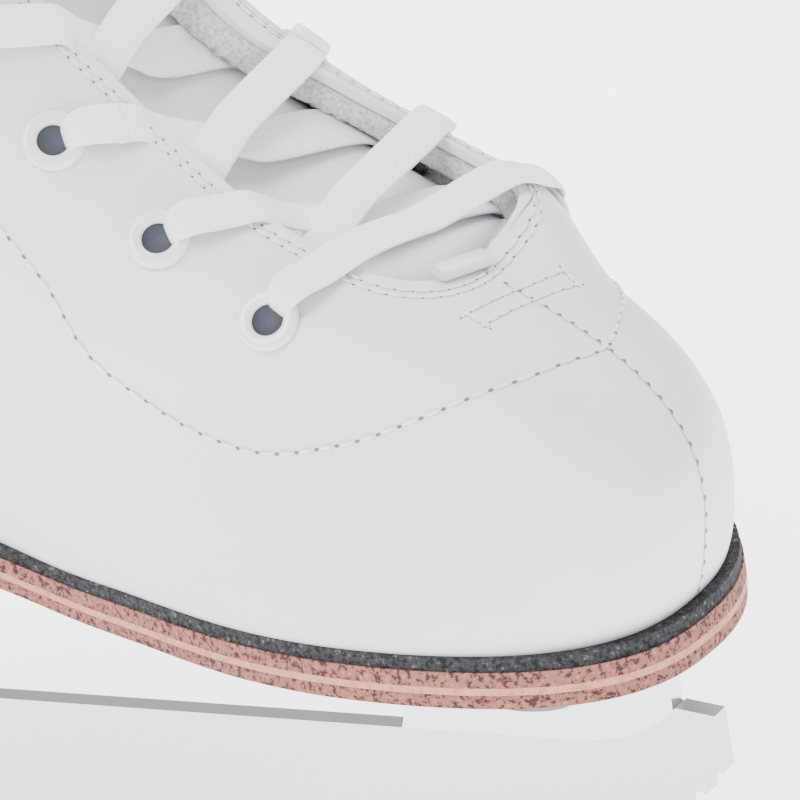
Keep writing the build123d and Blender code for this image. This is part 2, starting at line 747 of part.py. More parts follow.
def lace_run(start, end, heights):
    """Flat lace between two places.  heights gives (share of the way, height above the surface)."""
    chord = end - start
    length = chord.length
    along = chord / length
    middle = ray_hit((start + end) * 0.5 + Vector(45, 0, 25), Vector(-45, 0, -25).normalized())
    out = Vector(outward(middle).X, 0, outward(middle).Z)
    out = (out - along * out.dot(along)).normalized()
    line = []
    for share, height in heights:
        base = start + along * (length * share)
        point = ray_hit(base + out * 40.0, out * -1)
        normal = outward(point)
        line.append((length * share, (point - start).dot(out) + height / max(normal.dot(out), 0.5)))
    plane = Plane(origin=start, x_dir=along, z_dir=along.cross(out))
    upper = []
    lower = []
    for k, (x, y) in enumerate(line):
        x0, y0 = line[max(k - 1, 0)]
        x1, y1 = line[min(k + 1, len(line) - 1)]
        size = math.hypot(x1 - x0, y1 - y0)
        nx, ny = -(y1 - y0) / size * LACE_THICK / 2, (x1 - x0) / size * LACE_THICK / 2
        upper.append((x + nx, y + ny))
        lower.append((x - nx, y - ny))
    with BuildPart() as run:
        with BuildSketch(plane):
            with BuildLine():
                Polyline(*upper, *lower[::-1], close=True)
            make_face()
        extrude(amount=LACE_WIDTH / 2, both=True)
    return run.part


def crossing(start, end, side, last):
    """Heights of a run that starts under one flap and ends on top of the other."""
    y0 = abs(start.Y - axis_y(start.X))
    y1 = abs(end.Y - axis_y(end.X))
    half = slot_half((start.X + end.X) / 2)
    leave = (y0 - half) / (y0 + y1)
    arrive = (y0 + half) / (y0 + y1)
    middle = (leave + arrive) / 2
    return [(0.10, LACE_UNDER), (leave * 0.6, LACE_UNDER), (leave + 0.02, LACE_UNDER),
            (middle - 0.06, LACE_UNDER * (0.60 if side < 0 else 0.75)),
            (middle + 0.06, LACE_UNDER * (0.30 if side < 0 else 0.45)), (arrive - 0.02, LACE_OVER),
            (arrive + 0.06, LACE_OVER), ((arrive + 0.98) / 2, LACE_OVER + 0.2), (0.93, last), (1.0, last)]


def over_all(first, last):
    """Heights of a run that stays on top of both flaps."""
    return [(0.0, first), (0.12, first), (0.26, LACE_OVER), (0.4, LACE_OVER), (0.5, LACE_OVER - 0.2),
            (0.6, LACE_OVER), (0.74, LACE_OVER), (0.88, last), (1.0, last)]


def hook_side(k, side, sign):
    """Where the lace passes a hook, below (sign -1) or above (sign 1) its neck."""
    point, normal = hooks[side][k]
    _, up, _ = ridge_at(hook_arcs[k])
    up = (up - normal * up.dot(normal)).normalized()
    out = surface_plane(point, normal, Vector(0, side, 0)).x_dir
    return point + up * (sign * HOOK_PASS) - out * 2.0


lace_runs = []
(bar_left, bar_left_n), (bar_right, bar_right_n) = eyelets[1][0], eyelets[-1][0]
lace_runs.append(lace_run(bar_right, bar_left, [(0.0, LACE_ON_RIM), (0.09, LACE_ON_RIM), (0.22, LACE_OVER + 0.4),
                                                (0.36, LACE_OVER + 0.3), (0.5, LACE_OVER + 0.3),
                                                (0.64, LACE_OVER + 0.3), (0.78, LACE_OVER + 0.4),
                                                (0.91, LACE_ON_RIM), (1.0, LACE_ON_RIM)]))
for row in range(EYELET_ROWS - 1):
    for side in (1, -1):
        start, end = eyelets[side][row][0], eyelets[-side][row + 1][0]
        lace_runs.append(lace_run(start, end, crossing(start, end, side, LACE_ON_RIM)))
for side in (1, -1):
    start, end = eyelets[side][-1][0], hook_side(0, -side, -1)
    lace_runs.append(lace_run(start, end, crossing(start, end, side, LACE_IN_HOOK)))
for k in range(HOOK_ROWS - 1):
    for side in (1, -1):
        start, end = hook_side(k, side, 1), hook_side(k + 1, -side, -1)
        lace_runs.append(lace_run(start, end, over_all(LACE_IN_HOOK, LACE_IN_HOOK)))
KNOT_ARC = hook_arcs[-1] + 12.0
KNOT_LIFT = 5.0
knot_ridge, knot_up, knot_out = ridge_at(KNOT_ARC)
knot_centre = knot_ridge + knot_out * KNOT_LIFT
for side in (1, -1):
    start, end = hook_side(HOOK_ROWS - 1, side, 1), knot_ridge + Vector(0, side * 3.0, 0)
    lace_runs.append(lace_run(start, end, [(0.0, LACE_IN_HOOK), (0.25, LACE_IN_HOOK), (0.55, LACE_OVER + 0.6),
                                           (1.0, KNOT_LIFT)]))
lace_plugs = pins(all_eyelets, PLUG_R, LACE_UNDER - 0.6, LACE_ON_RIM + 0.3)
wraps = []
for side in (1, -1):
    for k in range(HOOK_ROWS):
        point, normal = hooks[side][k]
        frame = surface_plane(point, normal, Vector(0, side, 0), LACE_IN_HOOK - LACE_THICK / 2)
        with BuildPart() as wrap:
            with BuildSketch(frame):
                with Locations((-HOOK_BACK + 2.2, 0)):
                    Rectangle(3.4, 2 * HOOK_PASS + LACE_WIDTH * 0.8)
            extrude(amount=LACE_THICK)
        wraps.append(wrap.part)
with BuildPart() as lace:
    add([*lace_runs, lace_plugs, *wraps])
save(lace.part, "lace")

KNOT = (9.0, 13.0, 9.0)
with BuildPart() as knot:
    with BuildSketch(Plane(origin=knot_centre - knot_out * KNOT[2] / 2, x_dir=(0, 1, 0), z_dir=knot_out)):
        RectangleRounded(KNOT[1], KNOT[0], 4.0)
    extrude(amount=KNOT[2])
    fillet(knot.edges().group_by(Axis(knot_centre, knot_out))[0], 2.5)
    fillet(knot.edges().group_by(Axis(knot_centre, knot_out))[-1], 2.5)
    add(lace.part, mode=Mode.SUBTRACT)
save(knot.part, "bow_knot")

# ---------------------------------------------------------------- bow
# The loops and the ends lie free, so their routes are points chosen by hand.
CORD_R = 2.0
LOOP_LEFT = [(17, 6, 284), (22, 20, 286), (25, 35, 281), (26, 47, 269), (28, 50, 253), (30, 42, 239),
             (31, 27, 236), (30, 14, 246), (26, 7, 260), (20, 4, 275)]
LOOP_RIGHT = [(17, -6, 284), (22, -21, 285), (25, -36, 279), (27, -48, 267), (29, -50, 251), (31, -41, 237),
              (32, -26, 235), (31, -13, 245), (27, -7, 259), (20, -3, 275)]
END_LEFT = [(19, 5, 277), (23, 14, 262), (21, 26, 247), (13, 37, 231), (1, 44, 216), (-9, 47, 199), (-14, 49, 180)]
END_RIGHT = [(19, -5, 277), (24, -12, 261), (24, -24, 245), (17, -36, 230), (5, -44, 214), (-6, -48, 197),
             (-13, -49, 178)]


def arc_radii(points):
    """Largest arc that each corner of a route allows."""
    radii = []
    for a, b, c in zip(points, points[1:], points[2:]):
        first, second = Vector(*b) - Vector(*a), Vector(*c) - Vector(*b)
        turn = math.radians(first.get_angle(second))
        radii.append(0.45 * min(first.length, second.length) / math.tan(turn / 2))
    return radii


def cord(points, name):
    """Plain round tube along a route of straight runs and tangent arcs."""
    with BuildPart() as tube:
        with BuildLine() as path:
            FilletPolyline(*[Vector(*p) for p in points], radius=arc_radii(points))
        route = path.wires()[0]
        with BuildSketch(Plane(origin=route @ 0, z_dir=route % 0)):
            Circle(CORD_R)
        sweep(path=route)
    print(f"{name:24s} length {route.length:.1f}")
    return tube.part


AGLET_R = 2.2
AGLET_LENGTH = 20.0
for side, word, loop, tail in ((1, "left", LOOP_LEFT, END_LEFT), (-1, "right", LOOP_RIGHT, END_RIGHT)):
    save(cord(loop, f"bow_loop_{word}"), f"bow_loop_{word}")
    save(cord(tail, f"lace_end_{word}"), f"lace_end_{word}")
    last = Vector(*tail[-1])
    heading = (last - Vector(*tail[-2])).normalized()
    with BuildPart() as aglet:
        with BuildSketch(Plane(origin=last, z_dir=heading)):
            Circle(AGLET_R)
        extrude(amount=AGLET_LENGTH)
        fillet(aglet.edges().group_by(Axis(last, heading))[-1], 0.8)
    save(aglet.part, f"aglet_{word}")

# ---------------------------------------------------------------- blade
plate_top = sole_under
heel_plate_top = plate_high
BLADE_BACK = -136.0
BLADE_FRONT = 119.0
RUNNER_TOP = 21.0
ROCKER_X = 8.0
SCREW_R = 2.0
SCREW_HEAD_R = 3.6
SCREW_HEAD = 1.2

with BuildPart() as sole_plate:
    with BuildSketch(Plane.XY.offset(plate_top - PLATE)):
        with BuildLine():
            Spline((34, 0), (40, 14), (62, 27), (88, 25), (106, 8), (112, -12), (106, -27), (88, -33), (62, -26),
                   (42, -14), periodic=True)
        make_face()
    extrude(amount=PLATE)
sole_screws_at = [(44, 6), (44, -7), (62, 19), (62, -19), (84, 17), (84, -26), (102, -21)]
heel_screws_at = [(-104, 8), (-104, -8), (-68, 14), (-68, -14)]
with BuildPart() as heel_plate:
    with BuildSketch(Plane.XY.offset(heel_plate_top - PLATE)):
        with BuildLine():
            Spline((-60, 0), (-66, 18), (-86, 21), (-106, 15), (-113, 0), (-106, -15), (-86, -21), (-66, -18),
                   periodic=True)
        make_face()
    extrude(amount=PLATE)


def screw_holes(places, top):
    """Countersunk clearance holes through a plate."""
    with BuildPart() as holes:
        with BuildSketch(Plane.XY.offset(top)):
            with Locations(*places):
                Circle(SCREW_R + 0.2)
        extrude(amount=-PLATE - 1.0)
    return holes.part


def screws(places, top, grip):
    """Pan-head screws driven up through a plate, in pilot holes of their own size."""
    with BuildPart() as group:
        for x, y in places:
            with BuildSketch(Plane.XY.offset(top - PLATE - SCREW_HEAD)):
                with Locations((x, y)):
                    Circle(SCREW_HEAD_R)
            extrude(amount=SCREW_HEAD)
            with BuildSketch(Plane.XY.offset(top - PLATE)):
                with Locations((x, y)):
                    Circle(SCREW_R)
            extrude(amount=grip + PLATE)
            with BuildSketch(Plane.XY.offset(top - PLATE - SCREW_HEAD)):
                with Locations((x, y)):
                    Rectangle(0.8, 4.4)
                    Rectangle(4.4, 0.8)
            extrude(amount=0.8, mode=Mode.SUBTRACT)
    return group.part


def stanchion(outline_back, outline_front, window):
    """Upright web between a plate and the runner, with an oval window."""
    with BuildPart() as web:
        with BuildSketch(Plane.XZ):
            with BuildLine():
                Spline(*outline_back)
                Line(outline_back[0], outline_front[0])
                Spline(*outline_front)
                Line(outline_front[-1], outline_back[-1])
            make_face()
            with Locations(window[0]):
                Ellipse(*window[1], mode=Mode.SUBTRACT)
        extrude(amount=RUNNER / 2, both=True)
        add(runner.part, mode=Mode.SUBTRACT)
    return web.part


SOLE_GRIP = sole_depth - WELT - SOLE_TOP - 0.4
with BuildPart() as sole_plate_cut:
    add(sole_plate.part)
    add(screw_holes(sole_screws_at, plate_top), mode=Mode.SUBTRACT)
save(sole_plate_cut.part, "sole_plate")
with BuildPart() as heel_plate_cut:
    add(heel_plate.part)
    add(screw_holes(heel_screws_at, heel_plate_top), mode=Mode.SUBTRACT)
save(heel_plate_cut.part, "heel_plate")
save(screws(sole_screws_at, plate_top, SOLE_GRIP), "sole_plate_screws")
save(screws(heel_screws_at, heel_plate_top, TOP_PIECE), "heel_plate_screws")

front_under = plate_top - PLATE
rear_under = heel_plate_top - PLATE


def rocker_z(x):
    """Height of the ice edge above the ice line."""
    return ROCKER_R - math.sqrt(ROCKER_R ** 2 - (x - ROCKER_X) ** 2)


edge = [(x, rocker_z(x)) for x in (-118.0, -90.0, -60.0, -30.0, 0.0, 30.0, 60.0, 84.0, 97.0)]
TEETH = [(100.0, 3.6), (101.5, 8.4), (105.6, 6.4), (106.6, 11.0), (110.6, 9.4), (111.6, 14.0), (115.2, 12.8),
         (116.0, 17.4), (119.0, 17.0)]
with BuildPart() as runner:
    with BuildSketch(Plane.XZ):
        with BuildLine():
            Spline((BLADE_BACK, 12.0), (-133.0, 6.0), (-126.0, 5.0), edge[0], tangents=((0.1, -1), (1, -0.1)))
            Spline(*edge)
            Polyline(edge[-1], *TEETH, (BLADE_FRONT, 27.0), (112.0, 28.0))
            Spline((112.0, 28.0), (104.0, RUNNER_TOP + 2.0), (92.0, RUNNER_TOP), tangents=((-1, -0.9), (-1, 0)))
            Line((92.0, RUNNER_TOP), (-108.0, RUNNER_TOP))
            Spline((-108.0, RUNNER_TOP), (-124.0, 18.5), (BLADE_BACK, 12.0), tangents=((-1, 0), (-0.5, -1)))
        make_face()
    extrude(amount=RUNNER / 2, both=True)
save(runner.part, "runner")

front_back_edge = [(44.0, front_under), (56.0, 36.0), (60.0, 26.0), (56.0, 17.0)]
front_front_edge = [(109.0, front_under), (111.0, 36.0), (111.5, 30.0), (110.0, 20.0)]
save(stanchion(front_back_edge, front_front_edge, ((83.0, 32.5), (15.0, 7.0))), "front_stanchion")
rear_back_edge = [(-111.0, rear_under), (-106.0, 38.0), (-105.0, 28.0), (-108.0, 15.0)]
rear_front_edge = [(-59.0, rear_under), (-66.0, 38.0), (-67.0, 28.0), (-62.0, 15.0)]
save(stanchion(rear_back_edge, rear_front_edge, ((-86.0, 33.0), (9.0, 7.5))), "rear_stanchion")
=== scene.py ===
"""A white lace-up figure skate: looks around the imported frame.  Lengths are worked out in millimetres,
in the frame's own axes, and turned into metres where Blender objects are made."""
import math

import bmesh
import bpy
import numpy as np
from mathutils import Matrix, Vector
from mathutils.bvhtree import BVHTree


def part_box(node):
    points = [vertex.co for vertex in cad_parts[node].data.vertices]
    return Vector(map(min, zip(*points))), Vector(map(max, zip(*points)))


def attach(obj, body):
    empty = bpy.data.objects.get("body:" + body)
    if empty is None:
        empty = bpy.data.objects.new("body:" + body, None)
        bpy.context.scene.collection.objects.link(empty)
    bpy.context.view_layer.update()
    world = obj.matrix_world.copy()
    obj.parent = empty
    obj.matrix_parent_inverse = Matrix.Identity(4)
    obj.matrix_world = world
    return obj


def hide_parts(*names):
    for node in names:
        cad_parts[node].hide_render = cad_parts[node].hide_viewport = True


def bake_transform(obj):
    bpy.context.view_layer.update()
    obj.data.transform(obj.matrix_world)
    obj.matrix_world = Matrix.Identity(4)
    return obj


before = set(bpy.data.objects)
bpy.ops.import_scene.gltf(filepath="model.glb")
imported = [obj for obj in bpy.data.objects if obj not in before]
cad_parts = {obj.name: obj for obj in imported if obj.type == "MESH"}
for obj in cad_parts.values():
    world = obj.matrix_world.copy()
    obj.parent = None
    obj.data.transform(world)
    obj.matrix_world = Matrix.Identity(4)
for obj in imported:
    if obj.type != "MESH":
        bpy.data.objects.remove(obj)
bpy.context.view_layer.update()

MM = 0.001
rng = np.random.default_rng(7)

# ---------------------------------------------------------------- sizes, as in the part's source (mm)
SEAT_Z, HEEL_RISE, COLLAR_Z, ANKLE_Z = 56.0, 30.0, 286.0, 170.0
SHAFT = COLLAR_Z - ANKLE_Z
LEATHER, STIFFENER, LINING, GLUE = 1.6, 1.2, 2.0, 0.2
LINING_OUT = LEATHER + STIFFENER + 2 * GLUE
LINING_IN = LINING_OUT + LINING
LACE_ROOM = 2.6             # under the flaps
TONGUE_OUT = LINING_IN + LACE_ROOM
TONGUE_LEATHER, TONGUE_PAD = 1.4, 3.0
COLLAR_BAND = 34.0
THROAT_X, SLOT_LOW, SLOT_HIGH = 94.0, 14.5, 10.0
NOSE_X = 90.5               # front end of the opening as it is seen, behind its bound edge
NOSE_LENGTH, NOSE_POWER = 16.0, 2.2                # its rounded end
ROW_FIRST, ROW_PITCH, EYELET_ROWS, HOOK_ROWS, FROM_EDGE = 24.5, 22.5, 6, 4, 14.5
EYELET_R, EYELET_HOLE = 5.15, 2.6
LACE_SKEW = 16.0            # how much nearer the toe the outer side's first eyelet is
LACE_W, LACE_T = 7.4, 1.0
HOOK_PITCH_SHARE = 0.95     # hooks stand a little closer than eyelets
BLUNT_FRONT, BLUNT_BACK = 2.37, 2.4                # how square the slices are
TOE_SWING, SWING_START, SWING_SPAN = -19.0, 40.0, 90.0
WAIST_IN, WAIST_OUT, WAIST_X, WAIST_SPAN, WAIST_TOP, WAIST_FADE = 22.0, 8.0, 2.0, 44.0, 104.0, 46.0

FRONT = [(50, 124), (54, 127.5), (60, 131), (66, 133), (74, 134.5), (82, 133.3), (89, 128.0), (95, 118.7),
         (100, 106.5), (105, 92.3), (110, 78.5), (118, 61), (128, 45), (140, 32), (155, 20)]
FRONT_SHAFT = [(0.0, 11.5), (0.17, 4.5), (0.4, 1.5), (0.62, 2.0), (0.83, 5.0), (1.05, 9.0), (1.3, 13.0)]
BACK = [(50, -116), (80, -121), (108, -121.5), (125, -119), (145, -112)]
BACK_SHAFT = [(0.0, -103), (0.2, -99), (0.5, -100), (0.8, -103), (1.3, -107)]
HALF_WIDTH = [(50, 45.5), (60, 44.5), (72, 42.0), (85, 38.5), (95, 36.5), (110, 36.0), (130, 36.0),
              (150, 36.0)]
HALF_WIDTH_SHAFT = [(0.0, 36.0), (0.3, 37.0), (0.6, 41.0), (0.85, 43.0), (1.3, 46.0)]
WIDEST = [(50, 48), (70, 45), (95, 32), (120, 2), (150, -40)]
WIDEST_SHAFT = [(0.0, -45), (1.3, -50)]


def smooth(t):
    t = np.clip(t, 0.0, 1.0)
    return t * t * (3 - 2 * t)


def table(low, shaft):
    rows = list(low) + [(ANKLE_Z + f * SHAFT, v) for f, v in shaft]
    zs, vs = np.array(rows, float).T
    h = np.diff(zs)
    d = np.diff(vs) / h
    slope = np.concatenate([[d[0]], (d[:-1] * h[1:] + d[1:] * h[:-1]) / (h[:-1] + h[1:]), [d[-1]]])
    return zs, vs, slope


def hermite(tab, z):
    zs, vs, m = tab
    z = np.asarray(z, float)
    i = np.clip(np.searchsorted(zs, z, side="left") - 1, 0, len(zs) - 2)
    h = zs[i + 1] - zs[i]
    t = (z - zs[i]) / h
    return (vs[i] * (1 + 2 * t) * (1 - t) ** 2 + m[i] * h * t * (1 - t) ** 2
            + vs[i + 1] * t * t * (3 - 2 * t) + m[i + 1] * h * t * t * (t - 1))


front_tab, back_tab = table(FRONT, FRONT_SHAFT), table(BACK, BACK_SHAFT)
width_tab, widest_tab = table(HALF_WIDTH, HALF_WIDTH_SHAFT), table(WIDEST, WIDEST_SHAFT)


def axis_y(x):
    ahead = np.maximum(np.asarray(x, float) - SWING_START, 0.0)
    return TOE_SWING * np.minimum(ahead / SWING_SPAN, 1.2) ** 2


def seat_z(x):
    return SEAT_Z + HEEL_RISE * smooth((20.0 - np.asarray(x, float)) / 85.0)


def collar_z(x):
    return np.interp(x, [-100, -84, -60, -20, 20], [-14, -8, 0, 0, -3]) + COLLAR_Z


edge_cache = {}


def edge_x(z, depth, sign):
    """Front or back of the slice at height z, at a depth below the surface."""
    key = (round(depth, 3), sign)
    if key not in edge_cache:
        tab = front_tab if sign > 0 else back_tab
        zz = np.arange(40.0, COLLAR_Z + 40.0, 0.5)
        dx = hermite(tab, zz + 0.5) - hermite(tab, zz - 0.5)
        size = np.hypot(dx, 1.0)
        nz, nx = zz + sign * depth * dx / size, hermite(tab, zz) - sign * depth / size
        order = np.argsort(nz)
        edge_cache[key] = (nz[order], nx[order])
    return np.interp(z, *edge_cache[key])


def slice_numbers(z, depth=0.0):
    front, back = edge_x(z, depth, 1), edge_x(z, depth, -1)
    widest = np.minimum(hermite(widest_tab, z), front - 12.0)
    return front, back, widest, hermite(width_tab, z) - depth


def half_width(x, z, side, depth=0.0):
    front, back, widest, full = slice_numbers(z, depth)
    ahead = x > widest
    t = np.clip(np.where(ahead, (x - widest) / (front - widest), (widest - x) / (widest - back)), 0, 1)
    power = np.where(ahead, BLUNT_FRONT, BLUNT_BACK)
    body = full * (1 - t ** power) ** (1 / power)
    waist = np.where(np.asarray(side) > 0, WAIST_OUT, WAIST_IN) * smooth((WAIST_TOP - z) / WAIST_FADE)
    return body - waist * np.exp(-((x - WAIST_X) / WAIST_SPAN) ** 2) * (body / full)


def inside(x, y, z, depth=0.0):
    front, back, _, _ = slice_numbers(z, depth)
    off = y - axis_y(x)
    value = half_width(x, z, np.where(off > 0, 1, -1), depth) - np.abs(off)
    return np.where((x < front) & (x > back), value, -1.0)


# ridge of the boot, by arc length from the throat: negative towards the toe
ridge_z = np.arange(54.0, COLLAR_Z + 34.0, 0.2)
ridge_x = hermite(front_tab, ridge_z)
foremost = int(np.argmax(ridge_z > 74))
throat = foremost + int(np.argmax(ridge_x[foremost:] <= THROAT_X))
ridge_arc = np.concatenate([[0], np.cumsum(np.hypot(np.diff(ridge_x), np.diff(ridge_z)))])
ridge_arc -= ridge_arc[throat]


def slot_half(x):
    return SLOT_HIGH + (SLOT_LOW - SLOT_HIGH) * smooth((x - 33.0) / 32.0)


def surf(arc, y, depth=0.0):
    """Surface points at arc lengths along the ridge and offsets to the side of it."""
    arc, y = np.broadcast_arrays(np.asarray(arc, float), np.asarray(y, float))
    x0, z0 = np.interp(arc, ridge_arc, ridge_x), np.interp(arc, ridge_arc, ridge_z)
    dx = np.interp(arc + 0.6, ridge_arc, ridge_x) - np.interp(arc - 0.6, ridge_arc, ridge_x)
    dz = np.interp(arc + 0.6, ridge_arc, ridge_z) - np.interp(arc - 0.6, ridge_arc, ridge_z)
    size = np.hypot(dx, dz)
    ox, oz = dz / size, -dx / size
    yy = axis_y(x0) + y
    low, high = np.full(arc.shape, -6.0), np.full(arc.shape, 46.0)
    for _ in range(22):
        mid = (low + high) / 2
        hit = inside(x0 - ox * mid, yy, z0 - oz * mid, depth) > 0
        high = np.where(hit, mid, high)
        low = np.where(hit, low, mid)
    return np.stack([x0 - ox * high, yy, z0 - oz * high], -1)


def surf_frame(arc, y):
    """Surface points with outward normals."""
    p = surf(arc, y)
    e = 0.8
    da = surf(np.asarray(arc) + e, y) - surf(np.asarray(arc) - e, y)
    dy = surf(arc, np.asarray(y) + e) - surf(arc, np.asarray(y) - e)
    n = np.cross(dy, da)
    n /= np.linalg.norm(n, axis=-1)[..., None]
    flip = np.where(n[..., 0] * 0.5 + n[..., 2] * 0.5 + n[..., 1] * np.sign(y) * 0.3 < 0, -1.0, 1.0)
    return p, n * flip[..., None]


# The outer flap stands open: it is pushed forward, out and up, most of all along its edge.
FLAP_OPEN = np.array([5.0, 8.0, 4.0])
few_arcs = np.arange(-60.0, 170.0, 1.0)
ridge_few = np.stack([np.interp(few_arcs, ridge_arc, ridge_x), np.interp(few_arcs, ridge_arc, ridge_z)], -1)
ridge_way = np.gradient(ridge_few, axis=0)
ridge_way /= np.linalg.norm(ridge_way, axis=1)[:, None]


def opened(points):
    """Places after the outer flap is spread open (mm)."""
    points = np.array(points, float)
    near = (points[:, 1] - axis_y(points[:, 0]) > 2.0) & (points[:, 2] > 70.0)
    p = points[near]
    if len(p) == 0:
        return points
    gap = (p[:, :1] - ridge_few[None, :, 0]) ** 2 + (p[:, 2:3] - ridge_few[None, :, 1]) ** 2
    nearest = np.argmin(gap, axis=1)
    drop = np.sqrt(np.min(gap, axis=1))
    past = np.sum((p[:, [0, 2]] - ridge_few[nearest]) * ridge_way[nearest], axis=1)
    arc = few_arcs[nearest] + np.clip(past, -1, 1)
    off = p[:, 1] - axis_y(p[:, 0])
    along = smooth((arc + 16.0) / 30.0) * smooth((130.0 - arc) / 55.0)
    across = smooth((off - 2.0) / 11.0) * (1 - smooth((off - 15.0 + 0.8 * np.maximum(drop - 5.0, 0)) / 38.0))
    points[near] = p + FLAP_OPEN * (along * across)[:, None]
    return points


# ---------------------------------------------------------------- camera
EYE_AZIMUTH, EYE_ELEVATION, EYE_ROLL = 33.2, 19.5, -10.2     # degrees
EYE_DISTANCE = 900.0
EYE_WIDTH = 128.8           # width seen at the toe, mm
EYE_SHIFT = (-18.0, 0.2)
AIM = Vector((90.0, 0.0, 80.0))
SENSOR = 36.0


def make_camera():
    a, e, r = (math.radians(v) for v in (EYE_AZIMUTH, EYE_ELEVATION, EYE_ROLL))
    right = Vector((math.cos(a), math.sin(a), 0))
    up = Vector((-math.sin(a) * math.sin(e), math.cos(a) * math.sin(e), math.cos(e)))
    right, up = right * math.cos(r) + up * math.sin(r), up * math.cos(r) - right * math.sin(r)
    back = right.cross(up)
    data = bpy.data.cameras.new("camera")
    camera = bpy.data.objects.new("camera", data)
    bpy.context.scene.collection.objects.link(camera)
    camera.matrix_world = Matrix((right, up, back)).transposed().to_4x4()
    camera.location = (AIM + right * EYE_SHIFT[0] + up * EYE_SHIFT[1] + back * EYE_DISTANCE) * MM
    data.sensor_width = SENSOR
    data.lens = SENSOR * EYE_DISTANCE / EYE_WIDTH
    data.clip_start, data.clip_end = 0.02, 20.0
    bpy.context.scene.camera = camera


make_camera()


# ---------------------------------------------------------------- materials
def new_material(name, colour, roughness, metallic=0.0):
    material = bpy.data.materials.new(name)
    material.use_nodes = True
    shader = material.node_tree.nodes["Principled BSDF"]
    shader.inputs["Base Color"].default_value = (*colour, 1)
    shader.inputs["Roughness"].default_value = roughness
    shader.inputs["Metallic"].default_value = metallic
    return material, material.node_tree, shader


def add_node(tree, kind, **inputs):
    node = tree.nodes.new(kind)
    for key, value in inputs.items():
        if key in node.inputs:
            node.inputs[key].default_value = value
        else:
            setattr(node, key, value)
    return node


def object_coords(tree):
    return tree.nodes.new("ShaderNodeTexCoord").outputs["Object"]


def noise(tree, coords, scale, detail=3.0, rough=0.55):
    node = add_node(tree, "ShaderNodeTexNoise", Scale=scale, Detail=detail, Roughness=rough)
    tree.links.new(coords, node.inputs["Vector"])
    return node.outputs["Fac"]


def bump(tree, shader, height, distance, strength=1.0, under=None):
    node = add_node(tree, "ShaderNodeBump", Strength=strength, Distance=distance)
    tree.links.new(height, node.inputs["Height"])
    if under:
        tree.links.new(under, node.inputs["Normal"])
    tree.links.new(node.outputs["Normal"], shader.inputs["Normal"])
    return node.outputs["Normal"]


def ramp(tree, value, *stops):
    """Colour ramp of (place, colour) stops."""
    node = tree.nodes.new("ShaderNodeValToRGB")
    while len(node.color_ramp.elements) < len(stops):
        node.color_ramp.elements.new(0.5)
    for element, (place, colour) in zip(node.color_ramp.elements, stops):
        element.position, element.color = place, (*colour, 1)
    tree.links.new(value, node.inputs["Fac"])
    return node.outputs["Color"]


def leather(name, colour, roughness=0.46, grain=0.035):
    """Smooth coated leather: fine pores, faint creases and slow changes of shade."""
    material, tree, shader = new_material(name, colour, roughness)
    coords = object_coords(tree)
    cells = add_node(tree, "ShaderNodeTexVoronoi", Scale=1500.0)
    tree.links.new(coords, cells.inputs["Vector"])
    first = bump(tree, shader, cells.outputs["Distance"], grain * MM, 0.5)
    bump(tree, shader, noise(tree, coords, 260.0, 5.0), 0.10 * MM, 0.6, first)
    shade = ramp(tree, noise(tree, coords, 28.0, 4.0), (0.35, [c * 0.972 for c in colour]), (0.65, colour))
    tree.links.new(shade, shader.inputs["Base Color"])
    shader.inputs["Specular IOR Level"].default_value = 0.42
    return material


def speckled(name, base, dark, pale, scale=900.0, roughness=0.85, depth=0.25):
    """Cut edge of leather or fibre board: a rough ground with dark and pale flecks."""
    material, tree, shader = new_material(name, base, roughness)
    coords = object_coords(tree)
    mixed = ramp(tree, noise(tree, coords, scale, 4.0, 0.7),
                 (0.42, dark), (0.50, base), (0.60, base), (0.70, pale))
    tree.links.new(mixed, shader.inputs["Base Color"])
    bump(tree, shader, noise(tree, coords, scale * 1.3, 3.0), depth * MM, 0.8)
    shader.inputs["Specular IOR Level"].default_value = 0.25
    return material


def metal(name, colour, roughness, brushed=None):
    material, tree, shader = new_material(name, colour, roughness, 1.0)
    if brushed:
        coords = object_coords(tree)
        stretch = add_node(tree, "ShaderNodeMapping", Scale=brushed)
        tree.links.new(coords, stretch.inputs["Vector"])
        bump(tree, shader, noise(tree, stretch.outputs["Vector"], 1.0, 3.0), 0.03 * MM, 0.5)
    return material


WHITE = (0.74, 0.745, 0.775)
leather_white = leather("white_leather", WHITE)
leather_tongue = leather("tongue_leather", (0.76, 0.765, 0.79), 0.5, 0.02)
leather_collar = leather("collar_leather", (0.74, 0.745, 0.765), 0.5)
enamel, _, enamel_shader = new_material("white_enamel", (0.76, 0.765, 0.79), 0.16)
enamel_shader.inputs["Coat Weight"].default_value = 0.5
enamel_shader.inputs["Coat Roughness"].default_value = 0.05
# near black: painted shade for the dark inside of the eyelet holes
painted_hole_shade, _, _ = new_material("painted_hole_shade", (0.035, 0.04, 0.055), 0.7)
thread, _, _ = new_material("white_thread", (0.84, 0.84, 0.85), 0.6)
# dark grey: painted shade for needle holes in the leather
needle_hole_shade, _, _ = new_material("needle_hole_shade", (0.14, 0.145, 0.17), 0.9)
# mid grey: painted shade in the groove of the toe seam
seam_painted_shade, _, _ = new_material("seam_painted_shade", (0.40, 0.405, 0.43), 0.9)
tab_gloss, _, _ = new_material("tab_gloss", (0.70, 0.70, 0.70), 0.22)
tab_edge, _, _ = new_material("tab_edge", (0.72, 0.64, 0.50), 0.7)
welt_black = speckled("black_welt", (0.028, 0.028, 0.032), (0.006, 0.006, 0.007), (0.16, 0.16, 0.17), 1100.0)
sole_edge = speckled("sole_leather", (0.27, 0.115, 0.085), (0.055, 0.02, 0.022), (0.44, 0.24, 0.19), 950.0)
sole_band = speckled("sole_band", (0.52, 0.24, 0.165), (0.42, 0.18, 0.12), (0.62, 0.32, 0.23),
                     700.0, 0.7, 0.08)
board = speckled("fibre_board", (0.42, 0.30, 0.20), (0.28, 0.18, 0.12), (0.5, 0.38, 0.27), 500.0)
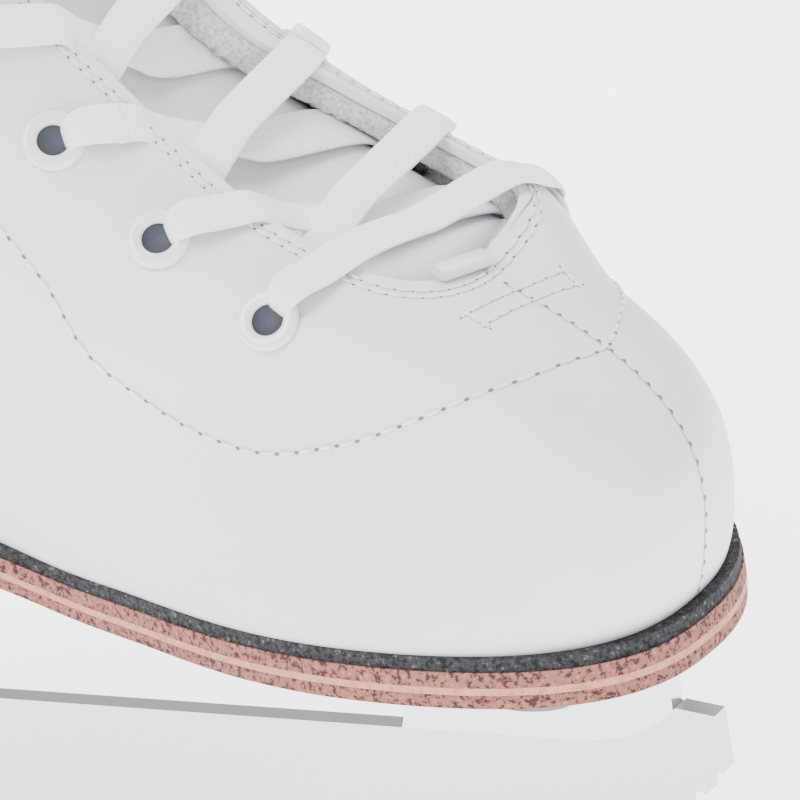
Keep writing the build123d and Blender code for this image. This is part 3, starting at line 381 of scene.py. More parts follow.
felt = speckled("footbed_felt", (0.52, 0.52, 0.54), (0.36, 0.36, 0.38), (0.7, 0.7, 0.7), 1600.0)
rubber, _, _ = new_material("heel_rubber", (0.035, 0.035, 0.035), 0.75)
chrome = metal("plated_steel", (0.72, 0.73, 0.745), 0.16)
hook_metal = metal("nickel_hook", (0.76, 0.76, 0.77), 0.2)
runner_metal = metal("runner_steel", (0.60, 0.61, 0.64), 0.28, (30.0, 30.0, 1400.0))
screw_metal = metal("screw_steel", (0.55, 0.56, 0.58), 0.3)
clear_tip, _, tip_shader = new_material("clear_tip", (0.84, 0.85, 0.86), 0.18)
tip_shader.inputs["Transmission Weight"].default_value = 0.25


def woven(name, colour):
    """Flat woven lace.  The UV map runs along the lace (u, in widths) and across it (v, 0 to 1)."""
    material, tree, shader = new_material(name, colour, 0.8)
    uv = tree.nodes.new("ShaderNodeUVMap").outputs["UV"]
    parts = tree.nodes.new("ShaderNodeSeparateXYZ")
    tree.links.new(uv, parts.inputs[0])

    def math_node(kind, a, b=None):
        node = add_node(tree, "ShaderNodeMath", operation=kind)
        for i, value in enumerate((a, b)):
            if value is None:
                continue
            if isinstance(value, (int, float)):
                node.inputs[i].default_value = value
            else:
                tree.links.new(value, node.inputs[i])
        return node.outputs[0]

    # two families of ribs that lean either way from the middle of the lace, like plaited yarns
    u, v = parts.outputs["X"], parts.outputs["Y"]
    fold = math_node("ABSOLUTE", math_node("SUBTRACT", v, 0.5))
    lean = math_node("SINE", math_node("MULTIPLY", math_node("ADD", u, fold), 2 * math.pi * 9.0))
    along = math_node("SINE", math_node("MULTIPLY", v, 2 * math.pi * 6.0))
    ribs = math_node("ADD", math_node("MULTIPLY", lean, 0.65), math_node("MULTIPLY", along, 0.35))
    weave = math_node("MULTIPLY", ribs, 0.5)
    height = math_node("ADD", weave, 0.5)
    first = bump(tree, shader, height, 0.12 * MM, 0.55)
    coords = object_coords(tree)
    bump(tree, shader, noise(tree, coords, 2600.0, 2.0), 0.06 * MM, 0.6, first)
    # the low parts of the weave are painted darker: painted shade between the ribs
    painted_shading_tone = ramp(tree, height, (0.05, [c * 0.92 for c in colour]), (0.5, colour))
    tree.links.new(painted_shading_tone, shader.inputs["Base Color"])
    shader.inputs["Sheen Weight"].default_value = 0.25
    shader.inputs["Specular IOR Level"].default_value = 0.25
    return material


lace_white = woven("white_lace", (0.90, 0.905, 0.93))


def fuzzy(name, colour):
    """Brushed fleece: soft lumps and sheen, with painted shade darkening the gaps between the lumps and
    painted light on their tops.
    """
    material, tree, shader = new_material(name, colour, 0.95)
    coords = object_coords(tree)
    field = noise(tree, coords, 1400.0, 6.0, 0.75)
    # dark where the lumps' height is low, pale where it is high: painted shade in the gaps and painted light
    # on the tops
    painted_shading_tone = ramp(tree, field, (0.32, [c * 0.45 for c in colour]), (0.48, colour), (0.68, (0.85, 0.85, 0.86)))
    tree.links.new(painted_shading_tone, shader.inputs["Base Color"])
    bump(tree, shader, field, 0.5 * MM, 0.9)
    shader.inputs["Sheen Weight"].default_value = 0.5
    return material


fleece = fuzzy("fleece_lining", (0.60, 0.60, 0.62))


# ---------------------------------------------------------------- mesh helpers
def add_mesh(name, points, faces, material, slot, nodes=(), body="boot", shade_smooth=True, flap=True):
    """A mesh object from points in millimetres, carried by one body.  With flap it follows the outer flap."""
    if flap:
        points = opened(points)
    mesh = bpy.data.meshes.new(name)
    mesh.from_pydata((np.asarray(points, float) * MM).tolist(), [], [tuple(int(i) for i in f) for f in faces])
    mesh.validate()
    mesh.update()
    if shade_smooth:
        mesh.polygons.foreach_set("use_smooth", [True] * len(mesh.polygons))
    for item in material if isinstance(material, list) else [material]:
        mesh.materials.append(item)
    obj = bpy.data.objects.new(name, mesh)
    bpy.context.scene.collection.objects.link(obj)
    if body:
        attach(obj, body)
    if nodes:
        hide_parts(*nodes)
    return obj


def grid_faces(rows, columns, wrap=False):
    """Quads between the points of a grid, row after row."""
    faces = []
    last = columns if wrap else columns - 1
    for r in range(rows - 1):
        for c in range(last):
            d = (c + 1) % columns
            faces.append((r * columns + c, r * columns + d, (r + 1) * columns + d, (r + 1) * columns + c))
    return faces


def weld(obj, distance=0.02):
    """Join points that meet, drop flat faces and make the normals agree."""
    mesh = bmesh.new()
    mesh.from_mesh(obj.data)
    bmesh.ops.remove_doubles(mesh, verts=mesh.verts, dist=distance * MM)
    bmesh.ops.dissolve_degenerate(mesh, edges=mesh.edges, dist=distance * MM * 0.5)
    bmesh.ops.recalc_face_normals(mesh, faces=mesh.faces)
    outwards = 0.0
    for face in mesh.faces:
        centre = face.calc_center_median()
        core = Vector((min(centre.x, 0.06) - (0.05 if centre.z > 0.11 else 0), 0, max(0.06, centre.z - 0.04)))
        outwards += face.normal.dot(centre - core) * face.calc_area()
    if outwards < 0:
        bmesh.ops.reverse_faces(mesh, faces=mesh.faces)
    mesh.to_mesh(obj.data)
    mesh.free()
    obj.data.polygons.foreach_set("use_smooth", [True] * len(obj.data.polygons))


def solidify(obj, thickness):
    """Give a sheet its thickness (mm), on the inside."""
    modifier = obj.modifiers.new("thickness", "SOLIDIFY")
    modifier.thickness = thickness * MM
    modifier.offset = -1.0
    modifier.use_even_offset = False


def lathe(profile, segments):
    """Points and faces of an outline turned about +Z."""
    angles = np.linspace(0, 2 * math.pi, segments, endpoint=False)
    points = [[r * math.cos(a), r * math.sin(a), z] for r, z in profile for a in angles]
    return np.array(points), grid_faces(len(profile), segments, wrap=True)


def place(points, origin, x_dir, normal):
    """Local points set on a plane given by its X axis and its normal."""
    normal = normal / np.linalg.norm(normal)
    x_dir = x_dir - normal * np.dot(x_dir, normal)
    x_dir = x_dir / np.linalg.norm(x_dir)
    return origin + points @ np.array([x_dir, np.cross(normal, x_dir), normal])


def join(parts):
    """Several (points, faces) pairs as one."""
    points, faces, count = [], [], 0
    for p, f in parts:
        points.append(np.asarray(p))
        faces += [tuple(int(i) + count for i in face) for face in f]
        count += len(p)
    return np.concatenate(points), faces


# ---------------------------------------------------------------- upper
def slot_here(x, extra):
    """Half-width of the opening where the surface is at x."""
    u = np.clip(1 - (NOSE_X - x) / NOSE_LENGTH, 0, 1)
    return slot_half(x) * (1 - u ** NOSE_POWER) ** (1 / NOSE_POWER) + extra


def side_rows(side, depth, arcs, columns, low, high, extra=0.0):
    """Grid of one side of the boot: one row a slice, from the back seam to the ridge or the opening.
    The lowest rows are eased down to the line low(x), and the highest ones to the line high(x)."""
    rows = []
    bottom, top = (float(np.interp(arcs[k], ridge_arc, ridge_z)) for k in (0, -1))
    ease_low, ease_high = 104.0, top - 26.0
    for arc in arcs:
        z = float(np.interp(arc, ridge_arc, ridge_z))
        front, back, widest, _ = (float(v) for v in slice_numbers(z, depth))
        turn = np.linspace(0, 1, 600)
        xs = np.where(turn < 0.5, back + (widest - back) * (1 - np.cos(turn * math.pi)),
                      widest + (front - widest) * np.sin((turn - 0.5) * math.pi))
        ys = half_width(xs, z, side, depth)
        ys[0] = ys[-1] = 0.0
        need = slot_here(xs, extra)
        open_here = (ys < need) & (xs > widest) & (xs < NOSE_X)
        if open_here.any():
            end = int(np.argmax(open_here))
            a, b = end - 1, end
            t = (ys[a] - need[a]) / max((ys[a] - need[a]) - (ys[b] - need[b]), 1e-6)
            xs = np.concatenate([xs[:end], [xs[a] + (xs[b] - xs[a]) * t]])
            ys = np.concatenate([ys[:end], [ys[a] + (ys[b] - ys[a]) * t]])
        run = np.concatenate([[0], np.cumsum(np.hypot(np.diff(xs), np.diff(ys)))])
        want = np.linspace(0, run[-1], columns)
        px, py = np.interp(want, run, xs), np.interp(want, run, ys)
        pz = np.full(columns, z)
        if z < ease_low:
            pz = low(px) + (z - bottom) * (ease_low - low(px)) / (ease_low - bottom)
        elif z > ease_high:
            pz = ease_high + (z - ease_high) * (high(px) - ease_high) / (top - ease_high)
        share = (px - back) / (front - back)
        new_back, new_front = edge_x(pz, depth, -1), edge_x(pz, depth, 1)
        px = new_back + share * (new_front - new_back)
        py = np.where(py > 0.05, half_width(px, pz, side, depth), 0.0)
        rows.append(np.stack([px, axis_y(px) + side * py, pz], -1))
    return rows


low_arcs = np.arange(ridge_arc[0] + 0.5, ridge_arc[np.argmax(ridge_z > COLLAR_Z + 1)], 1.15)


def rounded_rim(obj, width):
    """Small round on the cut edges of a sheet."""
    modifier = obj.modifiers.new("rim", "BEVEL")
    modifier.width, modifier.segments = width * MM, 2
    modifier.limit_method, modifier.angle_limit = "ANGLE", math.radians(55)
    modifier.use_clamp_overlap = True


def flap_frame(arc, side):
    """Point, outward normal and sideways direction where a hole of the flap is."""
    y = side * (float(slot_half(np.interp(arc, ridge_arc, ridge_x))) + FROM_EDGE)
    p, n = surf_frame(np.array([arc]), np.array([y]))
    return p[0], n[0], np.array([0.0, side, 0.0])


eyelet_arcs = [ROW_FIRST + i * ROW_PITCH for i in range(EYELET_ROWS)]
hook_arcs = [eyelet_arcs[-1] + (i + 1) * ROW_PITCH * HOOK_PITCH_SHARE for i in range(HOOK_ROWS)]
rows_at = {-1: eyelet_arcs, 1: [arc - LACE_SKEW * (1 - i / EYELET_ROWS) for i, arc in enumerate(eyelet_arcs)]}


def bored(points, faces, side, radius):
    """The faces that are left when the eyelet holes are made."""
    centres = points[np.array(faces)].mean(axis=1)
    keep = np.ones(len(faces), bool)
    for arc in rows_at[side]:
        keep &= np.linalg.norm(centres - flap_frame(arc, side)[0], axis=1) > radius
    return [f for f, k in zip(faces, keep) if k]


SKIN_COLUMNS, LINING_COLUMNS = 190, 120
skin_points, skin_faces = [], []
for side, node in ((1, "upper_left_half"), (-1, "upper_right_half")):
    rows = side_rows(side, 0.0, low_arcs, SKIN_COLUMNS, lambda x: seat_z(x) - 0.6, collar_z)
    points = np.concatenate(rows)
    faces = grid_faces(len(rows), SKIN_COLUMNS)
    start = sum(len(p) for p in skin_points)
    skin_points.append(points)
    skin_faces += [tuple(i + start for i in f) for f in faces]
    obj = add_mesh(node + "_skin", points, bored(points, faces, side, EYELET_HOLE + 1.0), leather_white,
                   "white_leather", [node])
    weld(obj)
    solidify(obj, LEATHER)
    rounded_rim(obj, 0.28)
    below = low_arcs[np.interp(low_arcs, ridge_arc, ridge_z) < COLLAR_Z - COLLAR_BAND]
    rows = side_rows(side, LEATHER + 0.1, below[::2], LINING_COLUMNS, lambda x: seat_z(x) + 0.4,
                     lambda x: collar_z(x) - COLLAR_BAND, 0.35)
    replaced = ["lining", "interlining"] if side > 0 else []
    points = np.concatenate(rows)
    faces = bored(points, grid_faces(len(rows), LINING_COLUMNS), side, EYELET_HOLE + 2.0)
    obj = add_mesh("lining_" + node.split("_")[1], points, faces, fleece, "fleece_lining", replaced)
    weld(obj)
    solidify(obj, LINING_IN - LEATHER - 0.1)


# ---------------------------------------------------------------- stitching
skin_tree = BVHTree.FromPolygons((np.concatenate(skin_points) * MM).tolist(), skin_faces)


def snap(points):
    """Nearest places on the skin of the upper, with outward normals (mm)."""
    places, normals = [], []
    for p in points:
        found, normal, _, _ = skin_tree.find_nearest(Vector(p) * MM)
        middle = np.array([min(p[0], 60.0), float(axis_y(p[0])), 60.0 if p[2] < 110 else p[2]])
        normal = np.array(normal)
        if np.dot(normal, np.asarray(p) - middle) < 0:
            normal = -normal
        places.append(np.array(found) / MM)
        normals.append(normal)
    return np.array(places), np.array(normals)


def through(points, step=0.5):
    """Smooth curve through points (Catmull-Rom), with even spacing."""
    p = np.asarray(points, float)
    p = np.concatenate([[2 * p[0] - p[1]], p, [2 * p[-1] - p[-2]]])
    out = []
    for a, b, c, d in zip(p, p[1:], p[2:], p[3:]):
        for t in np.linspace(0, 1, 24, endpoint=False):
            out.append(0.5 * (2 * b + (c - a) * t + (2 * a - 5 * b + 4 * c - d) * t * t
                              + (3 * b - a - 3 * c + d) * t ** 3))
    out.append(p[-2])
    return spaced(np.array(out), step)


def spaced(line, step):
    run = np.concatenate([[0], np.cumsum(np.linalg.norm(np.diff(line[:, :3], axis=0), axis=1))])
    want = np.linspace(0, run[-1], max(int(round(run[-1] / step)), 2) + 1)
    return np.stack([np.interp(want, run, line[:, k]) for k in range(line.shape[1])], -1)


def capsule(length, width, height, rings=7, segments=8):
    """Rounded bar along X, lying on Z = 0."""
    points = []
    for t in np.linspace(0, math.pi, rings):
        r = math.sin(t) ** 0.6 if 0 < t < math.pi else 0.05
        for a in np.linspace(0, 2 * math.pi, segments, endpoint=False):
            points.append([-math.cos(t) * length / 2, r * width / 2 * math.cos(a),
                           r * height / 2 * math.sin(a)])
    return np.array(points), grid_faces(rings, segments, wrap=True)


def dent(length, width, segments=10):
    """Flat oval patch in the plane Z = 0."""
    angles = np.linspace(0, 2 * math.pi, segments, endpoint=False)
    points = [[0, 0, 0]] + [[length / 2 * math.cos(a), width / 2 * math.sin(a), 0] for a in angles]
    return np.array(points), [(0, 1 + i, 1 + (i + 1) % segments) for i in range(segments)]


THREAD_SINK, MARK_RISE = 0.02, 0.045


def stitch_line(name, line, pitch, length, width, holes):
    """A row of stitches along a line on the skin: a thread bar and, at every step, a dark patch of painted
    shade for the needle hole.
    """
    line, normals = snap(spaced(np.asarray(line), pitch))
    ahead = np.gradient(line, axis=0)
    threads, hole_shade_marks = [], []
    for p, n, a in zip(line, normals, ahead):
        a = a / np.linalg.norm(a)
        wobble = 1 + 0.06 * rng.standard_normal()
        pts, faces = capsule(length * wobble, width, width * 0.9)
        threads.append((place(pts, p + n * (width / 2 - THREAD_SINK), a, n), faces))
        pts, faces = dent(*holes)
        hole_shade_marks.append((place(pts, p + a * pitch * 0.5 + n * MARK_RISE, a, n), faces))
    add_mesh(name, *join(threads), thread, "white_leather")
    add_mesh(name + "_hole_shade", *join(hole_shade_marks), needle_hole_shade, "white_leather", shade_smooth=False)


# the curved seam of the toe cap, on the inner side
TOE_CAP = [(22, -34, 121), (29, -34, 112), (35, -31.5, 101), (45, -30.5, 92.5), (55, -32, 87.5),
           (67, -34.5, 85), (82, -36, 87), (94, -35.5, 90.5), (102, -34, 93.5), (110, -29.5, 96),
           (114.5, -23.0, 96.7), (117.5, -14.2, 95.9)]
mirrored = [(x, 2 * float(axis_y(x)) - y, z) for x, y, z in TOE_CAP]
stitch_line("toe_cap_stitch", through(TOE_CAP + mirrored[-2::-1]), 3.9, 2.7, 0.6, (0.95, 0.6))


def arc_of(x):
    keep = (ridge_arc > -60) & (ridge_z > 84) & (ridge_z < 150)
    return np.interp(-np.asarray(x, float), -ridge_x[keep], ridge_arc[keep])


def round_the_opening(off, nose=0.0):
    """Path on both flaps that runs a distance outside the opening, from collar to collar, as (arc, y)."""
    top = ridge_arc[np.argmax(ridge_z > COLLAR_Z - 4)]
    turn = np.linspace(math.pi / 2, 0, 26)
    xs = NOSE_X + nose + off - (NOSE_LENGTH + off) * (1 - np.cos(turn))
    half = (slot_half(xs) + off) * (1 - np.cos(turn) ** NOSE_POWER) ** (1 / NOSE_POWER)
    arcs = np.arange(top, arc_of(xs[0]) + 1.0, -2.0)
    ys = slot_half(np.interp(arcs, ridge_arc, ridge_x)) + off
    arcs, ys = np.concatenate([arcs, arc_of(xs)]), np.concatenate([ys, half])
    return np.concatenate([arcs, arcs[-2::-1]]), np.concatenate([-ys, ys[-2::-1]])


for k, off in enumerate((2.2, 3.6)):
    arcs, ys = round_the_opening(off, nose=0.8)
    stitch_line(f"flap_stitch_{k + 1}", surf(arcs, ys), 2.9, 2.05, 0.5, (0.62, 0.42))

# centre seam of the toe: a thin grey line of painted shade in the seam's groove, with dark patches of painted
# shade for the needle holes along its far side
seam_arcs = np.arange(ridge_arc[np.argmax(ridge_z > 57)], -3.0, 0.6)
seam = surf(seam_arcs, 0.0)
seam, seam_n = snap(seam)
seam_n[:, 1] = 0
# dark patches along the seam: painted shade of its needle holes
hole_shade_marks = []
seam_rows = spaced(np.hstack([seam, seam_n, np.gradient(seam, axis=0)]), 2.9)
for p, n, a in zip(seam_rows[:, :3], seam_rows[:, 3:6], seam_rows[:, 6:]):
    a = a / np.linalg.norm(a)
    n = n / np.linalg.norm(n)
    side = np.array([0, 1.0, 0])
    tri = np.array([[-0.62, 0.1, 0], [0.62, 0.1, 0], [0.2, 0.72, 0], [-0.2, 0.72, 0]])
    hole_shade_marks.append((p + n * 0.06 + tri[:, :1] * a + tri[:, 1:2] * side, [(0, 1, 2, 3)]))
add_mesh("seam_hole_shade", *join(hole_shade_marks), needle_hole_shade, "white_leather", shade_smooth=False)
# grey strip along the seam: painted shade in its groove
crease = np.concatenate([seam + seam_n * 0.04 + np.array([0, w, 0]) for w in (-0.11, 0.11)])
add_mesh("seam_line", crease, grid_faces(2, len(seam)), seam_painted_shade, "white_leather", shade_smooth=False)

# bar tack across the seam
tack = [(96.5, -19.5, 102), (100.2, -20.5, 101), (105.2, 0.5, 100), (101.6, 1.2, 101)]
for k in range(4):
    a, b = tack[k], tack[(k + 1) % 4]
    stitch_line(f"bar_tack_{k + 1}", through([a, b]), 2.5, 1.9, 0.55, (0.5, 0.4))


# ---------------------------------------------------------------- lining, tongue and pads
TONGUE_HALF, TONGUE_CORNER, TONGUE_COLUMNS = 28.5, 18.0, 61


def tongue_grid(depth, arcs):
    """The tongue's surface: narrower at its root, with round corners at the top."""
    lateral = np.linspace(-1, 1, TONGUE_COLUMNS)
    past = arcs - arcs[-1] + TONGUE_CORNER
    rounded = TONGUE_HALF - TONGUE_CORNER + np.sqrt(np.maximum(TONGUE_CORNER ** 2 - past ** 2, 0))
    wide = np.where(past > 0, rounded, TONGUE_HALF)
    wide = wide * np.interp(arcs, [arcs[0], arcs[0] + 24], [0.7, 1])
    a = np.repeat(arcs[:, None], TONGUE_COLUMNS, 1)
    return surf(a, wide[:, None] * lateral[None, :], depth)


def collar_arc(above):
    return float(ridge_arc[np.argmax(ridge_z > COLLAR_Z + above)])


for name, depth, thickness, material, slot, nodes in (
        ("tongue", TONGUE_OUT, TONGUE_LEATHER, leather_tongue, "white_leather",
         ("tongue_lower", "tongue_flap")),
        ("tongue_pad", TONGUE_OUT + TONGUE_LEATHER + GLUE, TONGUE_PAD, fleece, "tongue_foam",
         ("tongue_pad_lower", "tongue_pad_flap"))):
    arcs = np.arange(-12.0, collar_arc(25.0), 1.5)
    grid = tongue_grid(depth, arcs)
    obj = add_mesh(name, grid.reshape(-1, 3), grid_faces(len(arcs), TONGUE_COLUMNS), material, slot, nodes,
                   body=None)
    weld(obj)
    solidify(obj, thickness)
    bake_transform(obj)

# brushed edge of the lining round the opening
edge_arcs, edge_ys = round_the_opening(1.0)
edge_line = spaced(surf(edge_arcs, edge_ys), 0.7)
edge_line, edge_n = snap(edge_line)
out_dir = np.cross(edge_n, np.gradient(edge_line, axis=0))
out_dir /= np.linalg.norm(out_dir, axis=1)[:, None]
EDGE_SIDES = 18
ring = np.linspace(0, 2 * math.pi, EDGE_SIDES, endpoint=False)
edge_centre = edge_line - edge_n * 3.7
edge_points = (edge_centre[:, None, :] + out_dir[:, None, :] * (1.5 * np.cos(ring))[None, :, None]
               + edge_n[:, None, :] * (1.95 * np.sin(ring))[None, :, None])
edge_points = edge_points + 0.12 * rng.standard_normal(edge_points.shape)
add_mesh("lining_edge", edge_points.reshape(-1, 3), grid_faces(len(edge_line), EDGE_SIDES, wrap=True), fleece,
         "fleece_lining")


# ---------------------------------------------------------------- eyelets
BARREL = 3.4                # depth of an eyelet's barrel
rim = [(EYELET_HOLE, -BARREL), (EYELET_HOLE, 0.1)]
rim += [((EYELET_R + EYELET_HOLE) / 2 - math.cos(t) * (EYELET_R - EYELET_HOLE) / 2,
         0.15 + 1.15 * math.sin(t) ** 0.75) for t in np.linspace(0.12, math.pi - 0.02, 14)]
rim += [(EYELET_R - 0.05, -0.1), (EYELET_HOLE + 0.35, -0.1), (EYELET_HOLE + 0.35, -BARREL)]
# a near-black dish across each eyelet's hole, just under its rim: painted shade for the dark inside of the
# boot
shade_disc_profile = [(EYELET_HOLE - 0.02, 0.5), (EYELET_HOLE - 0.06, 0.16), (0.02, 0.14)]
for side, word in ((1, "left"), (-1, "right")):
    rims, shade_discs = [], []
    for arc in rows_at[side]:
        p, n, across = flap_frame(arc, side)
        pts, faces = lathe(rim, 48)
        rims.append((place(pts, p, across, n), faces))
        pts, faces = lathe(shade_disc_profile, 24)
        shade_discs.append((place(pts, p, across, n), faces))
    add_mesh(f"eyelet_rims_{word}", *join(rims), enamel, "white_enamel", [f"eyelets_{word}"])
    add_mesh(f"eyelet_hole_shade_discs_{word}", *join(shade_discs), painted_hole_shade, "white_enamel")


# ---------------------------------------------------------------- lace
def ribbon(name, line, widths, normals, nodes=(), thickness=LACE_T, flap=True):
    """Flat lace along a line (mm).  normals give the side it faces; the UV map runs along it in widths."""
    ahead = np.gradient(line, axis=0)
    ahead /= np.linalg.norm(ahead, axis=1)[:, None]
    side = np.cross(normals, ahead)
    side /= np.linalg.norm(side, axis=1)[:, None]
    face = np.cross(ahead, side)
    section = []
    for t in np.linspace(0, 2 * math.pi, 28, endpoint=False):
        c, s_ = math.cos(t), math.sin(t)
        section.append((math.copysign(abs(c) ** 0.55, c) / 2, math.copysign(abs(s_) ** 0.7, s_) / 2))
    widths = np.broadcast_to(np.asarray(widths, float), (len(line),))
    points = [p + w * (a * wide) + f * (b * thickness)
              for p, w, f, wide in zip(line, side, face, widths) for a, b in section]
    count = len(section)
    faces = grid_faces(len(line), count, wrap=True)
    faces += [tuple(range(count)), tuple(range((len(line) - 1) * count, len(line) * count))[::-1]]
    obj = add_mesh(name, points, faces, lace_white, "white_lace", nodes, flap=flap)
    run = np.concatenate([[0], np.cumsum(np.linalg.norm(np.diff(line, axis=0), axis=1))]) / LACE_W
    layer = obj.data.uv_layers.new(name="along")
    for loop in obj.data.loops:
        row, column = divmod(loop.vertex_index, count)
        a, b = section[column]
        layer.data[loop.index].uv = (run[row] + (0.5 if b < 0 else 0), a + 0.5)
    return obj


def lay(path, step=0.7):
    """A path of (arc, y, height, width) as places in space, widths, and normals of the surface under it."""
    path = through(path, step)
    p, n = surf_frame(path[:, 0], path[:, 1])
    # the surface normal changes quickly over the ridge; the lace turns more gently
    for _ in range(10):
        n[1:-1] = (n[:-2] + n[1:-1] * 2 + n[2:]) / 4
    n /= np.linalg.norm(n, axis=1)[:, None]
    line = p + n * path[:, 2:3]
    for _ in range(3):
        line[1:-1] = (line[:-2] + 2 * line[1:-1] + line[2:]) / 4
    # where the lace dives into a hole it keeps its sideways direction
    reach = int(9.0 / step)
    n[-reach:] = carried(line, n, len(line) - reach, len(line), 1)
    n[:reach] = carried(line, n, reach - 1, -1, -1)[::-1]
    return line, path[:, 3], n


def carried(line, normals, first, last, step):
    """Normals from one place of a line to another, carried along without twist from the first one."""
    ahead = np.gradient(line, axis=0)
    ahead /= np.linalg.norm(ahead, axis=1)[:, None]
    n, out = np.array(normals[first], float), []
    for i in range(first, last, step):
        n = n - ahead[i] * np.dot(n, ahead[i])
        n /= np.linalg.norm(n)
        out.append(n)
    return np.array(out)


def flap_y(arc, side, off=FROM_EDGE):
    return side * (float(slot_half(np.interp(arc, ridge_arc, ridge_x))) + off)


def plunge(arc, y, toward_arc, toward_y, top=2.3):
    """Last stretch into an eyelet at (arc, y), coming from a direction."""
    d = np.array([toward_arc - arc, toward_y - y])
    d /= np.linalg.norm(d)
    rows = []
    for off, h, w in ((11.0, 1.15, LACE_W), (7.5, 1.75, 7.3), (5.0, top + 0.3, 6.9), (3.3, top + 0.2, 6.3),
                      (2.2, top - 0.5, 5.3), (1.7, top - 1.9, 4.6), (1.5, top - 4.4, 4.2),
                      (1.4, top - 6.4, 4.2)):
        rows.append((arc + d[0] * off, y + d[1] * off, h, w))
    return rows


UNDER = -6.9                # height of the lace where it lies under a flap


def run_across(name, side, arc0, arc1, middle):
    """From under the flap on one side, over the tongue, to the eyelet on the other."""
    y0, y1 = flap_y(arc0, side), flap_y(arc1, -side)
    rows = []
    half0 = abs(flap_y(arc0, side, 0))
    for off, h in ((half0 + 9.0, UNDER), (half0 + 3.0, UNDER), (half0 - 1.5, UNDER + 0.4),
                   (half0 * 0.62, middle - 2.0), (0.0, middle), (-half0 * 0.6, middle + 1.1),
                   (-half0 - 0.5, 1.0), (-half0 - 3.5, 1.0)):
        y = side * off
        t = (y - y0) / (y1 - y0)
        rows.append((arc0 + (arc1 - arc0) * t, y, h, LACE_W))
    rows += plunge(arc1, y1, arc0, y0)
    ribbon(name, *lay(rows))


# bottom bar: into both lowest eyelets, over the throat
near, far = (rows_at[-1][0], flap_y(rows_at[-1][0], -1)), (rows_at[1][0], flap_y(rows_at[1][0], 1))
rows = plunge(*near, *far)[::-1]
for y, h in ((-11.0, 1.7), (0.0, 1.6), (11.0, 1.6)):
    t = (y - near[1]) / (far[1] - near[1])
    rows.append((near[0] + (far[0] - near[0]) * t, y, h, LACE_W))
rows += plunge(*far, *near)
ribbon("lace_bar", *lay(rows), ["lace"])
for r in range(EYELET_ROWS - 1):
    run_across(f"lace_far_{r + 1}", 1, rows_at[1][r], rows_at[-1][r + 1], -3.6)
    run_across(f"lace_near_{r + 1}", -1, rows_at[-1][r], rows_at[1][r + 1], -1.4)

# hooks: each half of the lace comes from under a flap, passes round every hook in turn and ends in the knot
HOOK_PASS, KNOT_ARC, KNOT_LIFT = 4.3, hook_arcs[-1] + 12.0, 5.0
for start_side in (1, -1):
    side = start_side
    half = abs(flap_y(eyelet_arcs[-1], side, 0))
    rows = [(rows_at[side][-1], side * (half + 9.0), UNDER, LACE_W),
            (rows_at[side][-1] + 2, side * (half + 2.0), UNDER, LACE_W),
            (eyelet_arcs[-1] + 9.0, 0.0, -3.0 if side > 0 else -1.4, LACE_W)]
    for k, arc in enumerate(hook_arcs):
        side = -side
        y = abs(flap_y(arc, side))
        rows += [(arc - 7.5, side * (y - 13.0), 1.3, LACE_W), (arc - HOOK_PASS, side * (y - 5.0), 2.0, 5.4),
                 (arc - 2.6, side * (y - 1.9), 2.15, 3.6), (arc, side * (y - 1.2), 2.2, 3.2),
                 (arc + 2.6, side * (y - 1.9), 2.15, 3.6), (arc + HOOK_PASS, side * (y - 5.0), 2.0, 5.4),
                 (arc + 6.5, side * (y - 12.0), 1.3, LACE_W)]
        if k < HOOK_ROWS - 1:
            rows.append((arc + ROW_PITCH * 0.47, 0.0, 1.1 if start_side > 0 else 2.3, LACE_W))
    rows.append((KNOT_ARC, side * 2.5, KNOT_LIFT, 5.0))
    ribbon(f"lace_hooks_{'left' if start_side > 0 else 'right'}", *lay(rows))


# ---------------------------------------------------------------- bow
# Both tables run from the knot: key 1 is the outer side, -1 the inner one.
LOOPS = {1: [(17, 6, 284), (22, 20, 286), (25, 35, 281), (26, 47, 269), (28, 50, 253), (30, 42, 239),
             (31, 27, 236), (30, 14, 246), (26, 7, 260), (20, 4, 275)],
         -1: [(17, -6, 284), (22, -21, 285), (25, -36, 279), (27, -48, 267), (29, -50, 251), (31, -41, 237),
              (32, -26, 235), (31, -13, 245), (27, -7, 259), (20, -3, 275)]}
ENDS = {1: [(19, 5, 277), (23, 14, 262), (21, 26, 247), (13, 37, 231), (1, 44, 216), (-9, 47, 199),
            (-14, 49, 180)],
        -1: [(19, -5, 277), (24, -12, 261), (24, -24, 245), (17, -36, 230), (5, -44, 214), (-6, -48, 197),
             (-13, -49, 178)]}


def route(name, points):
    """Spline along a route, and evenly spaced places on it (mm)."""
    data = bpy.data.curves.new(name, "CURVE")
    data.dimensions, data.resolution_u = "3D", 24
    spline = data.splines.new("NURBS")
    spline.points.add(len(points) - 1)
    for control, p in zip(spline.points, points):
        control.co = (*(v * MM for v in p), 1)
    spline.order_u = 3
    spline.use_endpoint_u = True
    curve = bpy.data.objects.new(name, data)
    bpy.context.scene.collection.objects.link(curve)
    mesh = bpy.data.meshes.new_from_object(curve)
    line = spaced(np.array([v.co[:] for v in mesh.vertices]) / MM, 1.0)
    bpy.data.objects.remove(curve)
    return line


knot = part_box("bow_knot")
knot_at = (np.array(knot[0]) + np.array(knot[1])) / 2 / MM
for side, word in ((1, "left"), (-1, "right")):
    for kind, points, end in (("bow_loop", LOOPS[side], "object"), ("lace_end", ENDS[side], "fitting")):
        line = route(f"{kind}_{word}_route", points)
        normals = carried(line, [(0.8, 0, 0.6)], 0, len(line), 1)
        wide = LACE_W * np.clip(0.62 + np.arange(len(line)) / 22.0, 0, 1)
        if kind == "bow_loop":
            wide = np.minimum(wide, wide[::-1])
        else:
            wide = wide * np.clip(0.5 + (len(line) - 1 - np.arange(len(line))) / 12.0, 0, 1)
        obj = ribbon(f"{kind}_{word}_ribbon", line, wide, normals, [f"{kind}_{word}"], flap=False)

